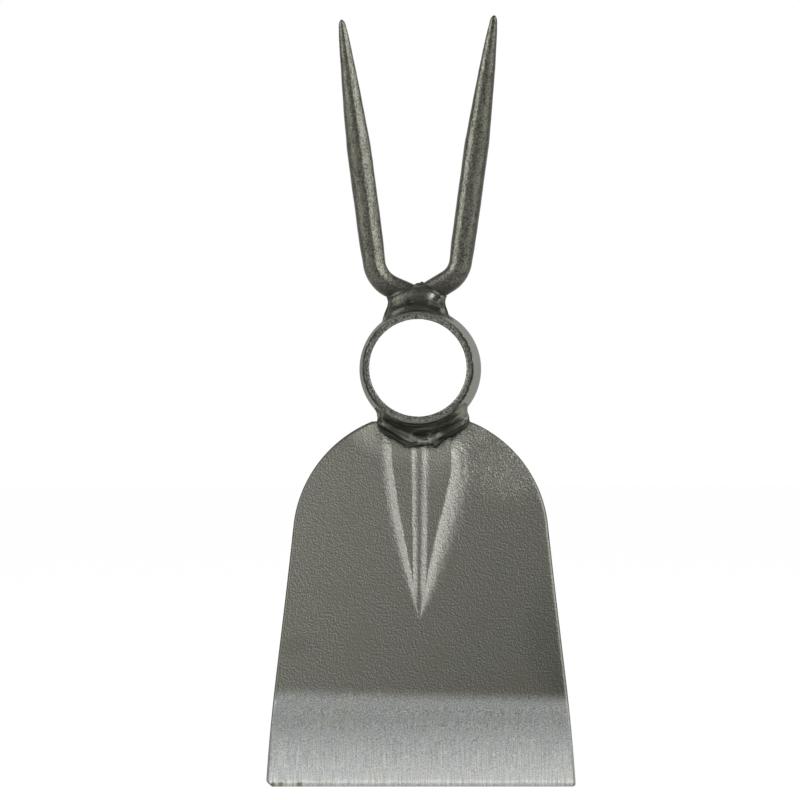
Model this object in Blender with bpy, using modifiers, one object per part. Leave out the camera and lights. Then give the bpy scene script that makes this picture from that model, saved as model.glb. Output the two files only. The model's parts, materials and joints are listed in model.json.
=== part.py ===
# Two-prong hoe head: a pressed blade, a tapered round eye and two drawn prongs, joined by welds.
# The eye's axis runs along Y, with the user at -Y. The prongs point up and the blade hangs below.
# Lengths are in metres and angles in degrees.
import math

import bmesh
import bpy
from mathutils import Euler, Vector

# Gap left between two pieces that touch
CLEARANCE = 0.0003

# Eye, a short cone of tube, narrow end towards the user
EYE_LENGTH = 0.038
EYE_FRONT_BORE_RADIUS = 0.016
EYE_REAR_BORE_RADIUS = 0.0184
EYE_WALL = 0.0021
EYE_RIM_CHAMFER = 0.0003
EYE_SIDES = 72

# Prongs, round bar bent at the foot and drawn to a point
ROD_RADIUS = 0.004
PRONG_SEAT_DEPTH = 0.0009
PRONG_FOOT_REACH = 0.0134
PRONG_FOOT_SLOPE = 26.5
PRONG_BEND_RADIUS = 0.009
PRONG_LEG_LENGTH = 0.084
PRONG_SPLAY = 7.6
PRONG_LEAN = 8.0
PRONG_SWEEP_RADIUS = 0.600
PRONG_TAPER_LENGTH = 0.041
PRONG_TAPER_FULLNESS = 0.8
PRONG_TIP_RADIUS = 0.0013
PRONG_TIP_LENGTH = 0.0030
PRONG_POINT_RADIUS = 0.00025
PRONG_BEND_STEPS = 8
PRONG_LEG_STEPS = 7
PRONG_TAPER_STEPS = 8
PRONG_TIP_STEPS = 4
PRONG_BEVEL_RESOLUTION = 6

# Blade, measured in its own plane, which passes through the eye's axis
BLADE_LEAN = 12.0
BLADE_THICKNESS = 0.003
BLADE_TOP_OVERLAP = 0.0013
BLADE_HEIGHT = 0.118
BLADE_TOP_WIDTH = 0.0325
BLADE_EDGE_WIDTH = 0.0994
BLADE_SHOULDER_RADIUS = 0.0417
BLADE_RIM_CHAMFER = 0.0008
BLADE_SHOULDER_STEPS = 14
BLADE_SIDE_STEPS = 4
BLADE_FLAT_COLUMNS = 3
BLADE_LEAST_ROW = 0.0012

# Ground edge on the user's side
GRIND_HEIGHT = 0.0268
GRIND_EDGE_THICKNESS = 0.0009

# Pressed crease, a channel sunk away from the user with a ridge along its floor.
# It runs from the blade's top edge to a point, and its walls close up over the run-in.
CREASE_LENGTH = 0.064
CREASE_RUN_IN = 0.009
CREASE_RUN_IN_WALL_SHARE = 0.3
CREASE_FLOOR_HALF_WIDTH = 0.0083
CREASE_LEFT_WALL = 0.0032
CREASE_RIGHT_WALL = 0.0074
CREASE_DEPTH = 0.0022
CREASE_RIDGE_SHARE = 0.35
CREASE_RIDGE_HEIGHT = 0.0012
CREASE_CURVE = 0.75
CREASE_LEAST_SHARE = 0.10
CREASE_STEPS = 9

# Welds between the prong feet and the eye
PRONG_WELD_RADIUS = 0.0050
PRONG_WELD_END_RADIUS = 0.0020
PRONG_WELD_SPAN = 0.0200
PRONG_WELD_SINK = 0.0004
PRONG_WELD_RISE = 0.0007

# Weld that closes the notch between the prong feet
BUTT_WELD_RADIUS = 0.0015
BUTT_WELD_HALF_ANGLE = 32.0
BUTT_WELD_STEPS = 6

# Welds between the eye and the blade
BLADE_WELD_RADIUS = 0.0056
BLADE_WELD_END_RADIUS = 0.0018
BLADE_WELD_OVERRUN = 3.0
BLADE_WELD_RISE = 0.0005
BLADE_WELD_STAND_OFF = 0.0004

# Ripples that every weld run shows, how blunt its ends are, and its faceting
WELD_RIPPLE = 0.03
WELD_BLUNTNESS = 4
WELD_STEPS_PER_RIPPLE = 3
WELD_RIPPLES = 7
WELD_BEVEL_RESOLUTION = 4

# Edges of the plate sharper than the first angle are chamfered, and those past the others shade sharp
RIM_ANGLE = 60.0
ROUND_SHARP_ANGLE = 40.0
PLATE_SHARP_ANGLE = 20.0

# How far a cutter reaches past what it cuts
CUTTER_MARGIN = 0.010
MERGE_DISTANCE = 0.00001

parts = bpy.data.collections.new("two_prong_hoe")
cutters = bpy.data.collections.new("cutters")


def clear_scene():
    for obj in list(bpy.data.objects):
        bpy.data.objects.remove(obj, do_unlink=True)
    bpy.context.scene.collection.children.link(parts)
    bpy.context.scene.collection.children.link(cutters)


def make_material(name, color, roughness, metallic):
    material = bpy.data.materials.new(name)
    material.use_nodes = True
    shader = material.node_tree.nodes["Principled BSDF"]
    shader.inputs["Base Color"].default_value = (*color, 1.0)
    shader.inputs["Roughness"].default_value = roughness
    shader.inputs["Metallic"].default_value = metallic
    return material


def add_object(name, data, collection, material=None):
    obj = bpy.data.objects.new(name, data)
    collection.objects.link(obj)
    if material:
        obj.data.materials.append(material)
    if collection is cutters:
        obj.hide_render = True
        obj.display_type = "WIRE"
    return obj


def mesh_from(bm, name):
    mesh = bpy.data.meshes.new(name)
    bm.to_mesh(mesh)
    bm.free()
    return mesh


def cut(obj, cutter):
    modifier = obj.modifiers.new("cut_" + cutter.name, "BOOLEAN")
    modifier.operation = "DIFFERENCE"
    modifier.object = cutter


def shade_round(obj, sharp_angle=ROUND_SHARP_ANGLE):
    obj.data.shade_smooth()
    obj.data.set_sharp_from_angle(angle=math.radians(sharp_angle))


# A bar or a weld run: a curve with its own radius at each point, turned into a closed mesh
def bar_mesh(name, points, radii, resolution):
    curve = bpy.data.curves.new(name, "CURVE")
    curve.dimensions = "3D"
    curve.bevel_depth = 1.0
    curve.bevel_resolution = resolution
    curve.use_fill_caps = True
    spline = curve.splines.new("POLY")
    spline.points.add(len(points) - 1)
    for point, place, radius in zip(spline.points, points, radii):
        point.co = (*place, 1.0)
        point.radius = radius
    guide = bpy.data.objects.new(name + "_curve", curve)
    bpy.context.scene.collection.objects.link(guide)
    evaluated = guide.evaluated_get(bpy.context.evaluated_depsgraph_get())
    mesh = bpy.data.meshes.new_from_object(evaluated)
    mesh.transform(guide.matrix_world)
    bm = bmesh.new()
    bm.from_mesh(mesh)
    bmesh.ops.remove_doubles(bm, verts=bm.verts, dist=MERGE_DISTANCE)
    bmesh.ops.recalc_face_normals(bm, faces=bm.faces)
    bm.to_mesh(mesh)
    bm.free()
    bpy.data.objects.remove(guide, do_unlink=True)
    return mesh


def box_cutter(name, centre, size, rotation_x=0.0):
    bm = bmesh.new()
    bmesh.ops.create_cube(bm, size=1.0)
    bmesh.ops.scale(bm, vec=size, verts=bm.verts)
    bmesh.ops.translate(bm, vec=centre, verts=bm.verts)
    obj = add_object(name, mesh_from(bm, name), cutters)
    obj.rotation_euler.x = rotation_x
    return obj


# Eye
def eye_outer_radius(y):
    share = 0.5 + y / EYE_LENGTH
    bore = EYE_FRONT_BORE_RADIUS + (EYE_REAR_BORE_RADIUS - EYE_FRONT_BORE_RADIUS) * share
    return bore + EYE_WALL


def screw_object(name, profile, closed, collection, material=None):
    mesh = bpy.data.meshes.new(name)
    edges = [(i, i + 1) for i in range(len(profile) - 1)]
    if closed:
        edges.append((len(profile) - 1, 0))
    mesh.from_pydata([(r, 0.0, z) for r, z in profile], edges, [])
    obj = add_object(name, mesh, collection, material)
    obj.rotation_euler.x = math.radians(-90.0)
    screw = obj.modifiers.new("turn", "SCREW")
    screw.axis = "Z"
    screw.steps = EYE_SIDES
    screw.render_steps = EYE_SIDES
    screw.use_merge_vertices = True
    screw.merge_threshold = MERGE_DISTANCE
    screw.use_smooth_shade = True
    return obj


def build_eye(material):
    half = EYE_LENGTH / 2
    chamfer = EYE_RIM_CHAMFER
    front, rear = eye_outer_radius(-half), eye_outer_radius(half)
    front_bore, rear_bore = front - EYE_WALL, rear - EYE_WALL
    profile = [
        (rear - chamfer, half),
        (rear, half - chamfer),
        (front, -half + chamfer),
        (front - chamfer, -half),
        (front_bore + chamfer, -half),
        (front_bore, -half + chamfer),
        (rear_bore, half - chamfer),
        (rear_bore + chamfer, half),
    ]
    return screw_object("eye_ring", profile, True, parts, material)


# The eye's outside, grown by the clearance, cuts whatever is welded to it
def build_eye_cutter():
    half = EYE_LENGTH / 2 + CUTTER_MARGIN
    front, rear = eye_outer_radius(-half) + CLEARANCE, eye_outer_radius(half) + CLEARANCE
    profile = [(0.0, half), (rear, half), (front, -half), (0.0, -half)]
    return screw_object("eye_cutter", profile, False, cutters)


# Prongs
def prong_butt_height():
    return eye_outer_radius(0.0) + ROD_RADIUS / math.cos(math.radians(PRONG_FOOT_SLOPE)) - PRONG_SEAT_DEPTH


# A point of the prongs' leaning sheet, from its distance outwards and its height above the butt
def prong_place(side, outwards, height):
    forward = height * math.tan(math.radians(PRONG_LEAN)) + height * abs(height) / (2 * PRONG_SWEEP_RADIUS)
    return Vector((side * outwards, -forward, prong_butt_height() + height))


def prong_radius(from_tip):
    if from_tip < PRONG_TIP_LENGTH:
        share = from_tip / PRONG_TIP_LENGTH
        round_off = math.sqrt(1.0 - (1.0 - share) ** 2)
        return PRONG_POINT_RADIUS + (PRONG_TIP_RADIUS - PRONG_POINT_RADIUS) * round_off
    if from_tip < PRONG_TAPER_LENGTH:
        share = (from_tip - PRONG_TIP_LENGTH) / (PRONG_TAPER_LENGTH - PRONG_TIP_LENGTH)
        return PRONG_TIP_RADIUS + (ROD_RADIUS - PRONG_TIP_RADIUS) * share ** PRONG_TAPER_FULLNESS
    return ROD_RADIUS


def spread(first, last, steps):
    return [first + (last - first) * i / steps for i in range(1, steps + 1)]


def prong_mesh(name, side, grow):
    slope, leg = math.radians(PRONG_FOOT_SLOPE), math.radians(90.0 - PRONG_SPLAY)
    foot_way = Vector((math.cos(slope), math.sin(slope)))
    leg_way = Vector((math.cos(leg), math.sin(leg)))
    corner = foot_way * (PRONG_FOOT_REACH / foot_way.x)
    tangent = PRONG_BEND_RADIUS * math.tan((leg - slope) / 2)
    bend_start = corner - foot_way * tangent
    centre = bend_start + Vector((-foot_way.y, foot_way.x)) * PRONG_BEND_RADIUS
    flat = [(-foot_way * ROD_RADIUS, ROD_RADIUS), (bend_start, ROD_RADIUS)]
    for angle in spread(slope, leg, PRONG_BEND_STEPS):
        arm = Vector((math.sin(angle), -math.cos(angle))) * PRONG_BEND_RADIUS
        flat.append((centre + arm, ROD_RADIUS))
    along = spread(PRONG_LEG_LENGTH - tangent, PRONG_TAPER_LENGTH, PRONG_LEG_STEPS)
    along += spread(PRONG_TAPER_LENGTH, PRONG_TIP_LENGTH, PRONG_TAPER_STEPS)
    along += [PRONG_TIP_LENGTH * (1 - math.sin(math.radians(90.0 * i / PRONG_TIP_STEPS)))
              for i in range(1, PRONG_TIP_STEPS + 1)]
    for from_tip in along:
        flat.append((corner + leg_way * (PRONG_LEG_LENGTH - from_tip), prong_radius(from_tip)))
    points = [prong_place(side, place.x, place.y) for place, _ in flat]
    radii = [radius + grow for _, radius in flat]
    return bar_mesh(name, points, radii, PRONG_BEVEL_RESOLUTION)


def build_prong(name, side, eye_cutter, material):
    obj = add_object(name, prong_mesh(name, side, 0.0), parts, material)
    shade_round(obj)
    reach = PRONG_FOOT_REACH + CUTTER_MARGIN
    centre = (side * (CLEARANCE - reach) / 2, 0.0, prong_butt_height())
    cut(obj, box_cutter(name + "_end_cutter", centre, (reach, 2 * reach, 2 * reach)))
    cut(obj, eye_cutter)
    return obj


# Blade
def blade_top_drop():
    return eye_outer_radius(0.0) - BLADE_TOP_OVERLAP


def shoulder_centre():
    return math.sqrt(BLADE_SHOULDER_RADIUS ** 2 - (BLADE_TOP_WIDTH / 2) ** 2)


# Angle below the shoulder's centre line at which the straight side leaves the round shoulder
def side_tangent_angle():
    across = BLADE_EDGE_WIDTH / 2
    down = BLADE_HEIGHT - shoulder_centre()
    return math.acos(BLADE_SHOULDER_RADIUS / math.hypot(across, down)) - math.atan2(down, across)


# Half the blade's width at a distance below its top edge
def blade_half_width(down):
    side_start = shoulder_centre() - BLADE_SHOULDER_RADIUS * math.sin(side_tangent_angle())
    if down <= side_start:
        return math.sqrt(BLADE_SHOULDER_RADIUS ** 2 - (shoulder_centre() - down) ** 2)
    start_width = BLADE_SHOULDER_RADIUS * math.cos(side_tangent_angle())
    share = (down - side_start) / (BLADE_HEIGHT - side_start)
    return start_width + (BLADE_EDGE_WIDTH / 2 - start_width) * share


# Distances below the top edge at which the blade has a row of points
def blade_rows():
    first = math.acos(shoulder_centre() / BLADE_SHOULDER_RADIUS)
    last = math.radians(90.0) - side_tangent_angle()
    shoulder = [shoulder_centre() - BLADE_SHOULDER_RADIUS * math.cos(angle)
                for angle in spread(first, last, BLADE_SHOULDER_STEPS)]
    crease = [CREASE_RUN_IN] + spread(shoulder[-1], CREASE_LENGTH, CREASE_STEPS)
    side = spread(max(shoulder[-1], CREASE_LENGTH), BLADE_HEIGHT, BLADE_SIDE_STEPS)
    rows = [0.0]
    for down in sorted(shoulder + crease + side):
        if down - rows[-1] >= BLADE_LEAST_ROW and BLADE_HEIGHT - down >= BLADE_LEAST_ROW:
            rows.append(down)
    return rows + [BLADE_HEIGHT]


def crease_share(down):
    share = (CREASE_LENGTH - down) / (CREASE_LENGTH - CREASE_RUN_IN)
    return min(1.0, max(0.0, share)) ** CREASE_CURVE


def crease_wall_share(down):
    open_share = min(1.0, down / CREASE_RUN_IN)
    return CREASE_RUN_IN_WALL_SHARE + (1.0 - CREASE_RUN_IN_WALL_SHARE) * open_share


# Points across the blade at one row: distance to the right, and how far each is sunk
def blade_section(down, grow):
    share = crease_share(down)
    width = max(share, CREASE_LEAST_SHARE)
    floor = CREASE_FLOOR_HALF_WIDTH * width
    ridge = floor * CREASE_RIDGE_SHARE
    depth = CREASE_DEPTH * share
    left = floor + CREASE_LEFT_WALL * width * crease_wall_share(down)
    right = floor + CREASE_RIGHT_WALL * width * crease_wall_share(down)
    edge = blade_half_width(down) + grow
    section = [(-x, 0.0) for x in reversed([left] + spread(left, edge, BLADE_FLAT_COLUMNS))]
    section += [(-floor, depth), (-ridge, depth), (0.0, depth - CREASE_RIDGE_HEIGHT * share)]
    section += [(ridge, depth), (floor, depth)]
    section += [(x, 0.0) for x in [right] + spread(right, edge, BLADE_FLAT_COLUMNS)]
    return section


# The blade's middle surface, lofted through its rows, with its outline grown outwards
def blade_surface(grow):
    bm = bmesh.new()
    grid = []
    rows = blade_rows()
    for down in rows:
        past = {rows[0]: -grow, rows[-1]: grow}.get(down, 0.0)
        height = -(blade_top_drop() + down + past)
        grid.append([bm.verts.new((across, sunk, height)) for across, sunk in blade_section(down, grow)])
    for upper, lower in zip(grid, grid[1:]):
        for i in range(len(upper) - 1):
            bm.faces.new((upper[i], lower[i], lower[i + 1], upper[i + 1]))
    return bm


def blade_object(name, grow, collection, material=None):
    obj = add_object(name, mesh_from(blade_surface(grow), name), collection, material)
    obj.rotation_euler.x = math.radians(-BLADE_LEAN)
    solidify = obj.modifiers.new("plate", "SOLIDIFY")
    solidify.thickness = BLADE_THICKNESS + 2 * grow
    solidify.offset = 0.0
    solidify.use_even_offset = True
    return obj


# All the space on one side of the blade's middle surface, which keeps the two lower welds apart
def blade_side_cutter(name, way):
    reach = 2 * BLADE_WELD_RADIUS + CUTTER_MARGIN
    bm = blade_surface(CUTTER_MARGIN)
    extruded = bmesh.ops.extrude_face_region(bm, geom=bm.faces[:])["geom"]
    moved = [item for item in extruded if isinstance(item, bmesh.types.BMVert)]
    bmesh.ops.translate(bm, vec=(0.0, way * reach, 0.0), verts=moved)
    bmesh.ops.translate(bm, vec=(0.0, -way * CLEARANCE / 2, 0.0), verts=bm.verts[:])
    bmesh.ops.recalc_face_normals(bm, faces=bm.faces[:])
    obj = add_object(name, mesh_from(bm, name), cutters)
    obj.rotation_euler.x = math.radians(-BLADE_LEAN)
    return obj


def build_blade(eye_cutter, material):
    obj = blade_object("blade", 0.0, parts, material)
    bevel = obj.modifiers.new("rim", "BEVEL")
    bevel.limit_method = "ANGLE"
    bevel.angle_limit = math.radians(RIM_ANGLE)
    bevel.width = BLADE_RIM_CHAMFER
    bevel.segments = 1
    cut(obj, eye_cutter)
    cut(obj, build_grind_cutter())
    shade_round(obj, PLATE_SHARP_ANGLE)
    return obj


# A box tipped so that its near face is the ground face of the blade
def build_grind_cutter():
    depth = BLADE_THICKNESS - GRIND_EDGE_THICKNESS
    tip = math.atan2(depth, GRIND_HEIGHT)
    reach = BLADE_EDGE_WIDTH / 2 + CUTTER_MARGIN
    length = math.hypot(depth, GRIND_HEIGHT)
    lean = math.radians(-BLADE_LEAN)
    size = (2 * reach, CUTTER_MARGIN, length + 2 * CUTTER_MARGIN)
    obj = box_cutter("grind_cutter", (0.0, -CUTTER_MARGIN / 2, -length / 2), size, lean + tip)
    start = Vector((0.0, -BLADE_THICKNESS / 2, GRIND_HEIGHT - BLADE_HEIGHT - blade_top_drop()))
    start.rotate(Euler((lean, 0.0, 0.0)))
    obj.location = start
    return obj


# Welds
# All the space in front of the prongs' feet or behind them, which keeps the two upper welds apart
def prong_side_cutter(name, way):
    depth = 2 * PRONG_WELD_RADIUS + CUTTER_MARGIN
    centre = (0.0, way * (depth - CLEARANCE) / 2, eye_outer_radius(0.0))
    return box_cutter(name, centre, (PRONG_WELD_SPAN + CUTTER_MARGIN, depth, 2 * depth))


def weld_radius(share, middle, end):
    ripple = 1.0 + WELD_RIPPLE * math.cos(2 * math.pi * WELD_RIPPLES * share)
    arch = math.sqrt(1.0 - (2 * share - 1) ** WELD_BLUNTNESS)
    return (end + (middle - end) * arch) * ripple


def weld_shares():
    steps = WELD_RIPPLES * WELD_STEPS_PER_RIPPLE
    return [i / steps for i in range(steps + 1)]


def build_weld(name, points, radii, cutter_list, material):
    obj = add_object(name, bar_mesh(name, points, radii, WELD_BEVEL_RESOLUTION), parts, material)
    shade_round(obj)
    for cutter in cutter_list:
        cut(obj, cutter)
    return obj


def build_prong_weld(name, way, cutter_list, material):
    points, radii = [], []
    for share in weld_shares():
        across = PRONG_WELD_SPAN * (share - 0.5)
        height = eye_outer_radius(0.0) + PRONG_WELD_RISE
        points.append(Vector((across, way * (ROD_RADIUS - PRONG_WELD_SINK), height)))
        radii.append(weld_radius(share, PRONG_WELD_RADIUS, PRONG_WELD_END_RADIUS))
    return build_weld(name, points, radii, cutter_list, material)


def build_blade_weld(name, way, cutter_list, material):
    lean = math.radians(BLADE_LEAN)
    corner = math.atan2(BLADE_TOP_WIDTH / 2, blade_top_drop())
    points, radii = [], []
    for share in weld_shares():
        angle = (corner + math.radians(BLADE_WELD_OVERRUN)) * (2 * share - 1)
        radius = eye_outer_radius(0.0) + BLADE_WELD_RISE
        height = -radius * math.cos(angle)
        face = height * math.tan(lean) + way * BLADE_THICKNESS / 2 / math.cos(lean)
        points.append(Vector((radius * math.sin(angle), face + way * BLADE_WELD_STAND_OFF, height)))
        radii.append(weld_radius(share, BLADE_WELD_RADIUS, BLADE_WELD_END_RADIUS))
    return build_weld(name, points, radii, cutter_list, material)


def build_butt_weld(cutter_list, material):
    rim = ROD_RADIUS / math.cos(math.radians(PRONG_FOOT_SLOPE))
    points, radii = [], []
    for step in range(BUTT_WELD_STEPS + 1):
        share = step / BUTT_WELD_STEPS
        angle = math.radians(BUTT_WELD_HALF_ANGLE) * (2 * share - 1)
        height = prong_butt_height() + rim * math.cos(angle)
        points.append(Vector((0.0, ROD_RADIUS * math.sin(angle), height)))
        radii.append(weld_radius(share, BUTT_WELD_RADIUS, BUTT_WELD_RADIUS / 2))
    return build_weld("prong_butt_weld", points, radii, cutter_list, material)


def main():
    clear_scene()
    scaled_steel = make_material("scaled_steel", (0.14, 0.14, 0.125), 0.45, 1.0)
    eye_steel = make_material("eye_steel", (0.20, 0.20, 0.19), 0.40, 1.0)
    prong_steel = make_material("prong_steel", (0.13, 0.13, 0.11), 0.40, 1.0)
    weld_steel = make_material("weld_steel", (0.06, 0.06, 0.055), 0.50, 1.0)

    eye_cutter = build_eye_cutter()
    build_eye(eye_steel)
    build_blade(eye_cutter, scaled_steel)
    prong_cutters = []
    for name, side in (("left_prong", -1), ("right_prong", 1)):
        build_prong(name, side, eye_cutter, prong_steel)
        cutter_name = name + "_cutter"
        cutter = add_object(cutter_name, prong_mesh(cutter_name, side, CLEARANCE), cutters)
        prong_cutters.append(cutter)

    behind_prongs = prong_side_cutter("behind_prongs", 1)
    before_prongs = prong_side_cutter("before_prongs", -1)
    behind_blade = blade_side_cutter("behind_blade", 1)
    before_blade = blade_side_cutter("before_blade", -1)
    blade_cutter = blade_object("blade_cutter", CLEARANCE, cutters)

    build_prong_weld("prong_weld_front", -1, [eye_cutter, *prong_cutters, behind_prongs], weld_steel)
    build_prong_weld("prong_weld_rear", 1, [eye_cutter, *prong_cutters, before_prongs], weld_steel)
    build_butt_weld(prong_cutters, weld_steel)
    build_blade_weld("blade_weld_front", -1, [eye_cutter, blade_cutter, behind_blade], weld_steel)
    build_blade_weld("blade_weld_rear", 1, [eye_cutter, blade_cutter, before_blade], weld_steel)


main()
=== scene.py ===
import json
import math

import bpy
import mathutils
from mathutils import Euler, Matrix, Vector

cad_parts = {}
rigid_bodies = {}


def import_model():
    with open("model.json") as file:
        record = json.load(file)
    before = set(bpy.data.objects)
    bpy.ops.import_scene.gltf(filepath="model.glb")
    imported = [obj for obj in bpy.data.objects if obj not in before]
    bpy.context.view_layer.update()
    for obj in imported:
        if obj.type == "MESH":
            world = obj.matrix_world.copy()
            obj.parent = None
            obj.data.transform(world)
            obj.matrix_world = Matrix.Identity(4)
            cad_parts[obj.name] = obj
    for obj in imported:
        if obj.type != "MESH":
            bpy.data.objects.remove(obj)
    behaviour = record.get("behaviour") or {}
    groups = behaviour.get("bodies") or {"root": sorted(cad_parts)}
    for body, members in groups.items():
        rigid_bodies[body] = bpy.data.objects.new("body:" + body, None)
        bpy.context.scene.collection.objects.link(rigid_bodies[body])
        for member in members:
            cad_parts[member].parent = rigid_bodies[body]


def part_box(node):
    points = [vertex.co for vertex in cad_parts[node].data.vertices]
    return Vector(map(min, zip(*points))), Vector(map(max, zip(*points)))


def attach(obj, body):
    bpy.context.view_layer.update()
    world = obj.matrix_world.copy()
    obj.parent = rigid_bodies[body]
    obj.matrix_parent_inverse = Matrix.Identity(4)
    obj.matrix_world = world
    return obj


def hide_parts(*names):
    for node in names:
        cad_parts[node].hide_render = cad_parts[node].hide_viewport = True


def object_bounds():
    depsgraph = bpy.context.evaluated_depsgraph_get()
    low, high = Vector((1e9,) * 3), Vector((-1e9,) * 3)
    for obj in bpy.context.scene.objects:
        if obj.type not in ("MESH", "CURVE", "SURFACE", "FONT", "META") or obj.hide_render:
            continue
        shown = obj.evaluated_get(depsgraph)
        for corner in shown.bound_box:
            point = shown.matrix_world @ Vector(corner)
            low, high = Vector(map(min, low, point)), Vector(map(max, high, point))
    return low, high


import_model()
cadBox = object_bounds()
mm = 0.001

eyeLow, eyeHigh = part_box("eye_ring")
bladeLow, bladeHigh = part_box("blade")


def deselectAll():
    for piece in bpy.context.view_layer.objects:
        piece.select_set(False)


def setMode(mode):
    bpy.ops.object.mode_set(mode=mode)


# the object that was added last, under its own name
def nameNew(name):
    piece = bpy.context.active_object
    piece.name = name
    return piece


def makeActive(piece):
    deselectAll()
    piece.select_set(True)
    bpy.context.view_layer.objects.active = piece


# leaves edit mode on, with everything selected
def editAll(piece):
    makeActive(piece)
    setMode("EDIT")
    bpy.ops.mesh.select_all(action="SELECT")


# leaves edit mode on, with only the points selected whose place passes the test
def pickPoints(piece, test):
    makeActive(piece)
    setMode("EDIT")
    bpy.ops.mesh.select_mode(type="VERT")
    bpy.ops.mesh.select_all(action="DESELECT")
    setMode("OBJECT")
    for point in piece.data.vertices:
        point.select = test(point.co)
    setMode("EDIT")
    bpy.ops.mesh.select_mode(type="VERT")


# doubles merged and faces turned outwards, leaving object mode on
def closeUp(piece, gap=0.001 * mm):
    editAll(piece)
    bpy.ops.mesh.remove_doubles(threshold=gap)
    bpy.ops.mesh.normals_make_consistent(inside=False)
    setMode("OBJECT")


def applyModifier(piece, kind, **settings):
    makeActive(piece)
    modifier = piece.modifiers.new(kind.lower(), kind)
    for name, value in settings.items():
        setattr(modifier, name, value)
    bpy.ops.object.modifier_apply(modifier=modifier.name)


# pushes the surface in and out by a cloudy pattern with bumps of the given size
def roughen(piece, bumpSize, height, group="", depth=2):
    clouds = bpy.data.textures.new(piece.name + "_clouds", "CLOUDS")
    clouds.noise_scale = bumpSize
    clouds.noise_depth = depth
    applyModifier(piece, "DISPLACE", texture=clouds, texture_coords="LOCAL", strength=height,
                  mid_level=0.5, vertex_group=group)


# a vertex group whose weight is worked out from each point's place
def markPoints(piece, name, weight):
    group = piece.vertex_groups.new(name=name)
    for point in piece.data.vertices:
        amount = weight(point.co)
        if amount > 0:
            group.add([point.index], min(1.0, amount), "REPLACE")


# a value worked out for each point, which the material reads by its name
def paintPoints(piece, name, valueAt):
    attribute = piece.data.attributes.new(name, "FLOAT", "POINT")
    for point in piece.data.vertices:
        attribute.data[point.index].value = valueAt(point)


def settle(piece, smoothAngle):
    makeActive(piece)
    bpy.ops.object.transform_apply(location=True, rotation=True, scale=True)
    bpy.ops.object.shade_smooth_by_angle(angle=math.radians(smoothAngle))


def finishPiece(piece, material, slot, *nodes):
    piece.data.materials.append(material)
    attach(piece, "root")
    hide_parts(*nodes)
    print("made", piece.name, len(piece.data.polygons), "faces")


def blendShare(value, start, end):
    share = min(1.0, max(0.0, (value - start) / (end - start)))
    return share * share * (3 - 2 * share)


def hexColor(code):
    channels = [int(code[i:i + 2], 16) / 255 for i in (1, 3, 5)]
    linear = [c / 12.92 if c <= 0.04045 else ((c + 0.055) / 1.055) ** 2.4 for c in channels]
    return (*linear, 1.0)


# adds a node, sets what it is given, links the sockets that are named, and lays a ramp's stops,
# each a place with a hex colour or a grey factor
def addNode(tree, kind, settings=None, links=None, stops=()):
    node = tree.nodes.new(kind)
    for name, value in (settings or {}).items():
        if isinstance(name, str) and hasattr(node, name):
            setattr(node, name, value)
        else:
            node.inputs[name].default_value = value
    for socket, source in (links or {}).items():
        tree.links.new(source, node.inputs[socket])
    for place, tone in stops[2:]:
        node.color_ramp.elements.new(1.0)
    for (place, tone), element in zip(stops, node.color_ramp.elements if stops else ()):
        element.position = place
        element.color = hexColor(tone) if isinstance(tone, str) else (tone, tone, tone, 1.0)
    return node


def newMetal(name, look):
    material = bpy.data.materials.new(name)
    material.use_nodes = True
    shader = material.node_tree.nodes["Principled BSDF"]
    shader.inputs["Metallic"].default_value = 1.0
    shader.inputs["Roughness"].default_value = look["roughness"]
    shader.inputs["Specular Tint"].default_value = hexColor(look["edgeTint"])
    return material, material.node_tree, shader


# nearly all of a noise lies between these two
noiseLow, noiseHigh = 0.35, 0.65

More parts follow.
